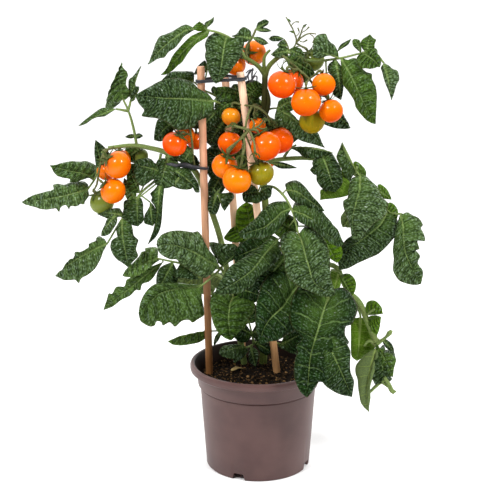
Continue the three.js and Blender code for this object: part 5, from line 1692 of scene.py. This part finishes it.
leaf("shoot_hanging", [
    [(373, 335, -6), (382, 341, -6), (386, 338, -6)],
    [(375, 340, -7), (378, 350, -12)],
    [(332, 270, 22), (338, 272, 8), (342, 276, 0)],
    [(357, 306, 2), (360, 314, 8), (361, 322, 12)],
    [(364, 319, -1), (370, 312, -6), (375, 309, -8)],
    [(383, 383, -20), (390, 388, -21), (396, 392, -22)],
], [
    cut((375, 348, -10), (369, 412, -24), FRONT_LEFT,
        [(369.5, 351.5), (361, 359), (355.5, 365.5), (355, 372.5), (358, 381), (359, 392), (361, 404)],
        [(378, 356), (374, 372), (371, 386), (370, 398)], fold=0.25, turned=True),
    cut((379, 350, -12), (383, 384, -20), FRONT_RIGHT, [(374, 360), (372, 374), (375, 384)],
        [(383.5, 344.5), (386.5, 350), (392, 348.5), (395.5, 353), (395, 360), (390.5, 364), (393.5, 372.5),
         (390.5, 374), (392.5, 380)]),
    cut((359, 317, 10), (357, 361, 8), FRONT, [(352, 320), (351, 336), (351.5, 355.5)],
        [(370, 322), (377, 336), (375, 347), (366, 356)],
        yellow=0.9, turned=True),
    cut((372, 341, -9), (393, 377, -16), FRONT, [(378, 358), (384, 374)],
        [(381, 352), (390, 354), (396, 359), (394, 368)],
        light=0.6, yellow=0.5),
    cut((364, 315, -3), (383, 313.5, -10), FRONT, [(366.5, 303), (371, 300.5), (376.5, 301.5), (381, 307)],
        [(371, 315), (377, 314.5)],
        light=0.8, yellow=0.85),
    cut((366, 320, -3), (381, 317, -9), FRONT, [(370, 316), (376, 315.5)],
        [(370, 329), (376, 336), (380, 326)],
        light=0.7, yellow=0.85),
    cut((339, 269, 6), (334, 290, -6), FRONT, [(329.5, 271), (330, 278), (332, 286)],
        [(341, 278), (340, 287)], yellow=0.8, turned=True),
    cut((341, 271, 2), (352, 296, -8), FRONT, [(341, 279), (345, 288)],
        [(348.5, 273.5), (354, 278), (356, 284), (355, 291)], light=0.4, yellow=0.8),
    ((386, 343, -6), (394, 352, -8), 8, FRONT, {}),
    ((380, 350, -10), (388, 376, -6), 16, FRONT, {}),
], stem=[
    (268, 296, 26), (290, 272, 40), (320, 266, 30), (337, 268, 12), (342, 279, 8), (349, 292, 4),
    (359, 302, 2),
    (366, 318, -2), (376, 342, -8),
], girth=(2.5, 3.6), twigs=[
    [(374, 346, -8, 2.8), (381, 341, -9, 2.1), (386, 337, -9, 1.6), (389.5, 333, -10, 2.9),
     (391.5, 330.5, -10, 1.7)],
    [(374, 343, -8, 2.4), (369, 341, -9, 1.6), (364, 346, -10, 1.1)],
    [(384, 377, -20, 2.2), (389, 385, -21, 2.6), (392, 391, -22, 2.6), (394, 393, -22, 1.8)],
    [(385, 380, -20, 1.4), (376, 386, -21, 2.0), (371, 391, -22, 1.7), (366, 396, -22, 0.9)],
])
print("Grew the two shoots")

# %% Lay the fallen leaf on the soil
fallen = Blade(Vector((-30, 5, 104.6)) * MM, Vector((-16, 11, 104.4)) * MM, 8, Vector((0, 0, 1)),
               arch=0.08, fold=0.2, key="fallen")
fallen_leaf = leaflet(fallen)
painted(fallen_leaf.data, DRY_LEAF, DRY_LEAF, DRY_LEAF)
settle(thicken(smooth(fallen_leaf)), "leaf_fallen")
print("The fallen leaf is", round(fallen.length / MM), "mm long")

# %% [markdown]
# ## The stems
# The two stems are bevelled curves through the places that they pass. They taper upwards, and small
# leaves grow straight from them.

# %% Grow the stems
STEM_STALK = (1.3, 0.9)


def stem(node, rows, stalks, leaflets, finish):
    """A stem with its branches, each (places, first radius, last radius), and its own leaflets."""
    lines = [through(stalk) for stalk in stalks]
    thick = [tapered(through(line), first, last) for line, first, last in rows]
    small = [tapered(line, *STEM_STALK) for line in lines]
    blades, more = dressed(node, lines, leaflets)
    settle(joined([blades, rods(small + more, STEM, 2), rods(thick, finish, 4)], node), node)


stem("stem_main", [
    ([(262, 398, 33), (263, 363, 32), (268, 300, 25), (268, 240, 15), (265, 200, 8), (262, 150, 12),
      (264, 110, 10), (265, 72, 8)], 4.7, 3.1),
    ([(265, 75, 8), (259, 67, 8), (251, 61, 7), (243, 57, 5)], 2.6, 1.9),
    ([(265, 78, 8), (268, 68, 8), (275, 60, 8), (281, 56, 7), (288, 54, 7)], 2.8, 2.0),
    ([(265, 80, 8), (264, 66, 7), (265, 56, 5), (270, 50, 4)], 2.4, 1.2),
    ([(265, 86, 8), (267.5, 94, 9), (268.5, 101, 9), (267, 109, 10), (264, 117, 11)], 1.8, 3.2),
], [
    [(267, 226, 13), (262, 236, 24), (252, 241, 24)],
    [(264, 200, 8), (262, 195, -2), (258, 192, -8)],
    [(262, 113, 10), (270, 109, 13), (278, 108, 14)],
], [
    cut((277, 110, 14), (325, 147.5, 12), HALF,
        [(278, 108.5), (285, 109), (290, 111), (296, 118), (304, 127), (317, 132), (320, 138), (323, 144.5)],
        [(275, 117), (279, 127), (288, 134), (301, 140), (310, 143), (319, 146)], light=0.45),
    cut((277, 109, 14), (297, 98, 20), FRONT, [(279, 101), (287, 97)], [(285, 112), (294, 109)], light=0.5,
        yellow=0.3),
    cut((253, 240, 24), (246, 202, 28), FRONT, [(240, 240), (236, 226), (237, 210)],
        [(256, 230), (256, 218), (253, 206)],
        light=0.35, yellow=0.9),
    cut((256, 241, 22), (237, 252, 18), HALF, [(250, 236), (241, 241)], [(252, 252), (244, 255)]),
    cut((262, 190, -7), (242, 195, -12), HALF, [(254, 185), (246, 187)],
        [(263, 199), (256, 203), (247, 202), (243, 199)], light=0.2),
    cut((260, 191, -6), (273, 186, -12), HALF, [(264, 186)], [(263, 200), (270, 197)], light=0.2),
    cut((263, 120, 8), (288, 135, 4), FRONT, [(270, 118), (280, 123)], [(267, 128), (278, 134)], light=0.3),
    cut((264, 132, 8), (298, 139, 6), FRONT, [(276, 128), (289, 131)], [(274, 141), (290, 144)], light=0.3),
    cut((270, 163, 4), (297, 168, 0), FRONT, [(279.5, 162), (288, 164)], [(279.5, 168), (288, 168.5)]),
    cut((256, 240, 24), (230, 229, 26), FRONT, [(250, 232), (238, 226)], [(244, 242), (232, 242), (224, 238)],
        light=0.3, yellow=0.8),
], MAIN_STEM)
stem("stem_left", [
    ([(244, 395, 33), (244, 363, 32), (231, 300, 24), (222, 245, 18), (209, 204, 14), (198, 175, 12)], 3.6,
        3.0),
    ([(201, 181, 12.5), (192, 168, 10), (166, 152.5, 4), (150, 148, 2), (135, 145.5, 0), (108, 148, -2)], 3.3,
        2.0),
], [
    [(209, 203, 13), (213, 197, 9), (217, 193, 4)],
    [(237, 333, 28), (226, 331, 20), (212, 331, 14)],
], [
    cut((212, 331, 14), (168, 341.5, 4), HALF,
        [(204, 330.5), (200, 334), (195, 332.5), (191.5, 336), (189, 334.5), (184, 338), (180, 336.5),
         (174, 339)],
        [(204, 339), (196.5, 343), (184, 345), (173, 344.5)], light=1.0, yellow=0.5),
    ((222, 331, 18), (214, 346, 20), 9, TOP, {"light": 0.4}),
    cut((217, 194, 6), (211, 214, -2), FRONT, [(209, 197), (206, 201), (207, 208)],
        [(220, 201), (219, 208), (216, 214)]),
    cut((221, 194, 4), (224.5, 211, -4), FRONT, [(220, 200), (221.5, 206)],
        [(225, 193), (232, 192.5), (234, 197.5), (229, 204.5)]),
    ((217, 194, 4), (212, 187, 2), 2.5, FRONT, {"light": 0.5}),
    ((219, 193, 4), (222, 186, 2), 2.5, FRONT, {"light": 0.5}),
], STEM)
print("Grew two stems")

# %% [markdown]
# ## The fruit
# A cherry tomato is a ball that is a little flat at both ends, with a shallow dimple round its stalk.
# One ball is shaped from a UV sphere, and a copy of it is sized, turned and hung for each fruit. The
# calyx over it is a star of thin sepals that curl up at their ends.

# %% Shape the master tomato
BALL_STEPS = (44, 26)
BALL_WIDTH = 1.02
TOP_FORM = {"flatness": 0.95, "dimple": 0.16, "reach": 0.2}
FOOT_FORM = {"flatness": 0.965, "dimple": 0.03, "reach": 0.12}

ball = fresh(bpy.ops.mesh.primitive_uv_sphere_add, segments=BALL_STEPS[0], ring_count=BALL_STEPS[1], radius=1)
for vertex in ball.data.vertices:
    x, y, z = vertex.co
    form = TOP_FORM if z > 0 else FOOT_FORM
    dimple = form["dimple"] * math.exp(-(math.hypot(x, y) / form["reach"]) ** 2)
    vertex.co = (x * BALL_WIDTH, y * BALL_WIDTH, z * form["flatness"] - math.copysign(dimple, z))
smooth(ball)
MASTER_TOMATO = ball.data.copy()
bpy.data.objects.remove(ball)
print("The master tomato has", len(MASTER_TOMATO.polygons), "faces")

# %% Hang the fruit
LUMP_SIZE = 1.3
LUMP_SHARE = 0.018


def on_fruit(at, radius, top, spin):
    """The transform from a ball of radius 1 to a fruit's place, size and lean."""
    lean = turned_to(Vector(top).normalized())
    turn = Matrix.Rotation(spin, 4, "Z")
    return Matrix.Translation(seen(*at)) @ lean @ turn @ Matrix.Scale(radius * MM, 4)


def hang(at, radius, top, ripe, finish, name, young=0.0):
    """A copy of the master tomato, with its own small lumps."""
    luck = random.Random(name)
    mesh = MASTER_TOMATO.copy()
    layer = mesh.attributes.new("tone", "FLOAT_COLOR", "POINT")
    shift = Vector((luck.uniform(0, 50), 0, 0))
    for vertex, tone in zip(mesh.vertices, layer.data):
        tone.color = (vertex.co.z / 2 + 0.5, ripe, young, 1)
        vertex.co *= 1 + LUMP_SHARE * noise.noise(vertex.co * LUMP_SIZE + shift)
    mesh.transform(on_fruit(at, radius, top, luck.uniform(0, 6)))
    painted(mesh, finish)
    return placed(mesh, name)


TOMATOES = {
    "tomato_top_front": ((254, 53, 30), 12.8, (-0.5, -0.8, 0.1), 0.5),
    "tomato_top_left": ((235, 64.5, 18), 11.3, (0.5, -0.2, 0.85), 0.5),
    "tomato_right_front": ((282, 84.5, -30), 14.4, (0.3, 0, 0.95), 0.9),
    "tomato_right_behind": ((291, 81.5, -6), 12.9, (0.2, -0.1, 0.95), 1.0),
    "tomato_right_high": ((323.6, 84.5, -22), 11.9, (-0.2, 0.5, 0.85), 0.4),
    "tomato_right_centre": ((306, 102, -34), 15, (0, 0.1, 0.95), 0.6),
    "tomato_right_low": ((331, 111, -26), 12.2, (-0.3, 0.4, 0.87), 0.5),
    "tomato_centre_high": ((231, 116.5, 1), 9.8, (0.1, 0.2, 0.95), -0.2),
    "tomato_centre_left": ((230, 143, -2), 12.6, (0.2, 0.1, 0.97), 0.8),
    "tomato_centre_lower": ((225, 166, -14), 13.6, (0.2, -0.45, 0.87), 0.4),
    "tomato_centre_lowest": ((237, 180, -37), 14.6, (0.25, -0.1, 0.95), 0.3),
    "tomato_centre_front": ((266, 146, -32), 15.2, (-0.5, 0, 0.86), 0.8),
    "tomato_centre_right": ((279.5, 140.5, -6), 14.3, (-0.3, 0.2, 0.92), 0.9),
    "tomato_centre_inner": ((257.5, 125.5, -8), 8.6, (-0.3, 0, 0.95), 0.5),
    "tomato_side_front": ((174.5, 144, -12), 12.8, (0.5, -0.3, 0.8), 1.0),
    "tomato_side_middle": ((185, 135, 8), 10.6, (0.2, 0, 0.97), 0.6),
    "tomato_side_behind": ((196, 141, 24), 9.6, (0, 0, 1), 0.8),
    "tomato_left_high": ((117.5, 165, -15), 14.4, (-0.75, -0.3, 0.55), 0.5),
    "tomato_left_low": ((113, 191, -17), 13.3, (-0.7, -0.2, 0.65), 0.4),
    "tomato_left_behind": ((121, 159, 11), 10.2, (-0.2, 0, 0.97), 0.5),
    "tomato_left_side": ((106.5, 171, 6), 10.2, (-0.3, -0.2, 0.92), 0.5),
    "tomato_back_left": ((237, 152, 62), 13.6, (0.2, 0.1, 0.97), 0.5),
    "tomato_back_right": ((262, 160, 66), 14.2, (-0.3, 0.1, 0.95), 0.6),
}
for node, (at, radius, top, ripe) in TOMATOES.items():
    settle(hang(at, radius, top, max(0, ripe), RIPE, node, max(0, -ripe)), node)
print("Hung", len(TOMATOES), "ripe tomatoes")

# %% Shape the master sepal
SEPAL_STEPS = (6, 12)
SEPAL_HALF, SEPAL_TIP = 0.115, 0.008
SEPAL_WIDEST = 0.32
SEPAL_KEEL = 0.35

sepal = fresh(bpy.ops.mesh.primitive_grid_add, x_subdivisions=SEPAL_STEPS[0],
              y_subdivisions=SEPAL_STEPS[1], size=2)
for vertex in sepal.data.vertices:
    u, v = vertex.co.x, vertex.co.y / 2 + 0.5
    waist = 0.55 + 1.4 * v if v < SEPAL_WIDEST else 1.0
    half = SEPAL_HALF * (1 - v ** 1.4) ** 0.9 * waist + SEPAL_TIP
    vertex.co = (u * half, v, -SEPAL_KEEL * half * (1 - abs(u)) * (1 - v))
sepal.data.uv_layers.remove(sepal.data.uv_layers[0])
smooth(sepal)
MASTER_SEPAL = sepal.data.copy()
bpy.data.objects.remove(sepal)
print("The master sepal has", len(MASTER_SEPAL.polygons), "faces")

# %% Make a calyx
SEPAL_BREADTH = 1.15
SHOULDER = {"out": 0.97, "start": 0.02, "up": 0.93, "rise": 0.06, "dimple": 0.06, "reach": 0.15}
SEPAL_LIFT, LIFT_POWER = 0.55, 2.2


def calyx(at, radius, top, name, closed=0.0):
    """Five or six sepals that lie on the fruit's shoulder and lift off it towards their ends."""
    luck = random.Random("calyx " + name)
    count = luck.choice((5, 6, 6))
    first = luck.uniform(0, 6)
    made = []
    for i in range(count):
        mesh = MASTER_SEPAL.copy()
        reach = luck.uniform(0.95, 1.3)
        lift = luck.uniform(0.5, 1.5) * (1 - closed)
        droop = luck.uniform(0.75, 1.0)
        for vertex in mesh.vertices:
            x, v, z = vertex.co
            angle = v * (reach * droop + closed)
            out = math.sin(angle) * SHOULDER["out"] + SHOULDER["start"]
            dimple = SHOULDER["dimple"] * math.exp(-(v / SHOULDER["reach"]) ** 2)
            up = SHOULDER["up"] * math.cos(angle) - dimple + SHOULDER["rise"]
            up += lift * SEPAL_LIFT * v ** LIFT_POWER
            vertex.co = (x * SEPAL_BREADTH, out, up + z)
        spin = first + 2 * math.pi * (i + luck.uniform(-0.13, 0.13)) / count
        mesh.transform(on_fruit(at, radius, top, spin))
        painted(mesh, CALYX)
        made.append(placed(mesh, "sepal"))
    return made


print("A calyx has five or six sepals")

# %% Make the trusses
PEDICEL_RADII = (1.1 * MM, 0.95 * MM, 1.55 * MM, 0.95 * MM, 1.7 * MM)
PEDICEL_END = 0.84
PEDICEL_BEND = 0.95
PEDICEL_RISE = 4
STAR_CLOSED = 0.7
GREEN_GROWTH = 0.7
RIPER_EACH = 0.3


def pedicel(lines, at, radius, top):
    """The stalk of one fruit, with the swollen joint where it breaks."""
    up = Vector(top).normalized()
    end = seen(*at) + up * PEDICEL_END * radius * MM
    bend = seen(*at) + up * (PEDICEL_BEND * radius + PEDICEL_RISE) * MM
    start = nearest(lines, bend)
    places = (start, start.lerp(bend, 0.55), bend, bend.lerp(end, 0.45), end)
    return list(zip(places, PEDICEL_RADII))


def truss(node, stalks, holds, green=(), leaflets=(), twigs=(), stars=(), young=0.0, girth=(1.5, 1.1)):
    """The stalks of one truss, with a calyx for each fruit, its unripe fruit and its dried stars."""
    lines = [through(stalk) for stalk in stalks]
    thick = [tapered(line, *girth) for line in lines] + [rod_line(twig) for twig in twigs]
    fruits = [(TOMATOES[name][:3], name) for name in holds]
    fruits += [(fruit, f"{node} green {i}") for i, fruit in enumerate(green)]
    sepals = []
    for fruit, name in fruits:
        thick.append(pedicel(lines, *fruit))
        sepals += calyx(*fruit, name)
    for i, star in enumerate(stars):
        sepals += calyx(*star, f"{node} star {i}", closed=STAR_CLOSED)
    pieces = [hang(at, radius + GREEN_GROWTH, top, RIPER_EACH * i, UNRIPE, f"{node}_green_{i}", young)
              for i, (at, radius, top) in enumerate(green)]
    pieces.append(changed(joined(sepals, "sepals"), "SOLIDIFY", thickness=BLADE_THICKNESS))
    if leaflets:
        blades, small = dressed(node, lines, leaflets)
        thick += small
        pieces.append(blades)
    pieces.append(rods(thick, TRUSS_STEM, 2))
    settle(joined(pieces, node), node)


truss("truss_top_left", [[(248, 60, 6), (246, 53, 8), (247, 46, 8), (252, 38, 5), (256, 29, 2)]],
      ["tomato_top_front", "tomato_top_left"], leaflets=[
    cut((257, 28, 2), (269, 21.5, 0), FRONT, [(258, 23), (265, 19.5)], [(261, 28), (267, 25)]),
    cut((256, 30, 2), (271.5, 31, -4), FRONT, [(261, 27.5), (267, 28.5)], [(260, 31.5), (266, 32)]),
    cut((253, 38, 4), (268.5, 43.5, -2), FRONT, [(259, 37), (265, 40)], [(257, 42), (263, 45)], light=0.4),
    cut((251, 38, 5), (231.5, 36, 6), FRONT, [(250.5, 31), (244, 27), (240, 29.5), (236.5, 34)],
        [(245, 42), (238, 38.5)], light=0.4),
])
truss("truss_top_right", [[(279, 53, 8), (288, 60, -2), (299, 70, -12), (309, 79, -14), (315, 88, -10),
                           (321, 99, -6)]], [
    "tomato_right_front", "tomato_right_behind", "tomato_right_high", "tomato_right_centre",
    "tomato_right_low",
], green=[((312, 121, -11), 12.6, (-0.1, 0.4, 0.9))], stars=[
    ((288, 66, -14), 7, (0.1, -0.3, 0.9)), ((299, 62, -2), 6.5, (0.3, -0.3, 0.9)),
    ((306, 68, -8), 5.5, (0.4, -0.2, 0.8)),
    ((302, 77, -12), 5, (-0.5, -0.2, 0.6)),
], leaflets=[
    cut((285, 57, 2), (315, 74, 6), FRONT, [(292, 55), (303, 61), (312, 67)],
        [(289, 66), (299, 78), (307, 83)],
        light=0.25, yellow=0.2),
])
truss("truss_flowers", [
    [(283, 55, 8), (291, 50, 10), (296, 43, 12), (294, 32, 8), (290, 24, 5), (286, 17, 3)],
    [(296, 43, 12), (302, 37, 8), (310, 33.5, 4), (316, 34, 2)],
    [(296, 43, 12), (300, 36, 12), (302, 30, 10), (304, 25, 8)],
    [(289, 51, 9), (287, 44, 10), (284, 39, 14)],
], [], green=[((313, 60, 22), 11.2, (-0.5, -0.3, 0.8))], young=0.9, girth=(1.0, 0.6), leaflets=[
    cut((284, 39, 14), (268.5, 39, 4), HALF, [(278.5, 36.5), (273, 35.5)], [(278.5, 41), (273, 41)]),
    cut((289, 52, 6), (271, 54.5, 2), FRONT, [(285, 46), (278, 48)], [(286, 57), (278, 58)], light=0.65),
    cut((288, 50, 6), (305, 57, 2), FRONT, [(294, 47), (301, 49)], [(292, 57), (299, 61)], light=0.4,
        yellow=0.2),
    cut((287, 46, 10), (277, 45, 6), FRONT, [(284, 41), (280, 42)], [(284, 48), (280, 48)], light=0.4),
    ((284, 41, 13), (278.5, 46, 10), 5, FRONT, {}),
    ((287, 19, 4), (291, 22, 0), 2.5, FRONT, {}),
    ((294, 33, 8), (289, 31, 4), 2.5, FRONT, {"light": 0.5}),
    ((303, 28, 8), (307, 24, 4), 2.5, FRONT, {"light": 0.5}),
], twigs=[
    [(291, 26, 6, 0.5), (295, 22, 5, 0.5), (299, 22, 3, 0.8)],
    [(301, 33, 9, 0.5), (306, 30, 5, 0.5), (309, 27, 2, 0.9)],
    [(310, 34, 4, 0.5), (314, 38, 1, 0.5), (313, 43, 0, 0.9)],
    [(298, 40, 12, 0.5), (303, 42, 8, 0.5), (307, 40, 5, 0.9)],
    [(295, 37, 10, 0.5), (299, 33, 8, 0.5), (298, 28, 5, 0.8)],
    [(293, 48, 10, 0.6), (301, 46, 6, 0.6), (306, 48, 3, 1.0)],
])
truss("truss_centre", [
    [(262, 108, 8), (253, 106, -12), (247, 119, -22), (245, 133, -26)],
    [(253, 106, -12), (262, 110, -14), (271, 120, -10)],
], [
    "tomato_centre_high", "tomato_centre_left", "tomato_centre_lower", "tomato_centre_lowest",
    "tomato_centre_front", "tomato_centre_right", "tomato_centre_inner",
], green=[((261, 173, -23), 12.6, (-0.35, -0.1, 0.92))], twigs=[
    [(226, 127.5, -18, 1.0), (233, 125.5, -24, 1.2), (240, 127.5, -26, 1.3), (249, 130, -28, 1.5)],
    [(249, 130, -28, 1.5), (242, 138, -30, 1.2), (233, 145, -28, 1.1), (230, 148, -26, 1.9),
     (228.5, 150.5, -24, 2.8), (228, 153, -22, 1.6)],
    [(244, 138, -30, 1.1), (245, 147, -36, 1.0), (242, 156, -42, 1.6)],
    [(249, 130, -28, 1.3), (254, 142, -46, 1.0), (255, 153, -52, 1.5)],
    [(251, 130, -27, 1.3), (257, 127, -24, 1.2), (262, 123, -20, 0.9), (265, 117, -16, 0.6)],
    [(253, 129, -26, 1.1), (254, 123, -24, 1.0), (251, 118, -22, 0.7)],
    [(257, 127, -24, 0.9), (263, 129, -26, 0.9), (267, 127, -24, 0.6)],
], stars=[((241, 161.5, -44), 6.6, (0.05, 0, 1)), ((255, 158.5, -54), 5.8, (0, 0, 1)),
          ((265, 124, -18), 6.5, (0.3, -0.3, 0.9)),
          ((273, 126, -12), 5.5, (0.5, -0.2, 0.8)), ((233, 127, -22), 5, (0.2, -0.4, 0.9))], leaflets=[
    cut((256, 112, 2), (262, 127, -4), FRONT, [(254, 117), (256, 124)], [(264, 115), (268, 122)], light=0.1),
])
truss("truss_side", [[(196, 173, 11), (193, 158, -1), (192, 142, -6), (188, 118, 5)]],
      ["tomato_side_front", "tomato_side_middle", "tomato_side_behind"], leaflets=[
    cut((193, 147, 0), (182, 166, 2), FRONT, [(185, 145), (180, 157)], [(193, 160), (188, 166)], light=0.4,
        yellow=0.2),
])
truss("truss_left", [
    [(114, 147, -2), (105, 152, -8), (100, 166, -13), (97, 184, -12)],
    [(105, 152, -8), (104, 150, 0), (110, 149, 8)],
], ["tomato_left_high", "tomato_left_low", "tomato_left_behind", "tomato_left_side"],
      green=[((102, 202, 4), 12.4, (-0.5, -0.3, 0.8))], young=0.8)
truss("truss_small", [[(136, 146, 0), (138, 147, 8), (140, 149, 12)]], [],
      green=[((141, 155.5, 14), 7.0, (-0.2, -0.3, 0.92))], young=1.0, leaflets=[
    cut((139, 148, 10), (126, 160, 18), FRONT, [(131, 145), (125, 150)], [(139, 156), (134, 163)], light=0.25,
        yellow=0.3),
    cut((140, 149, 14), (147, 170, 24), FRONT, [(135, 158), (138, 169)], [(147, 154), (148, 163)]),
])
truss("truss_back", [[(262, 142, 14), (254, 134, 40), (250, 130, 62)]],
    ["tomato_back_left", "tomato_back_right"])
print("Made eight trusses")
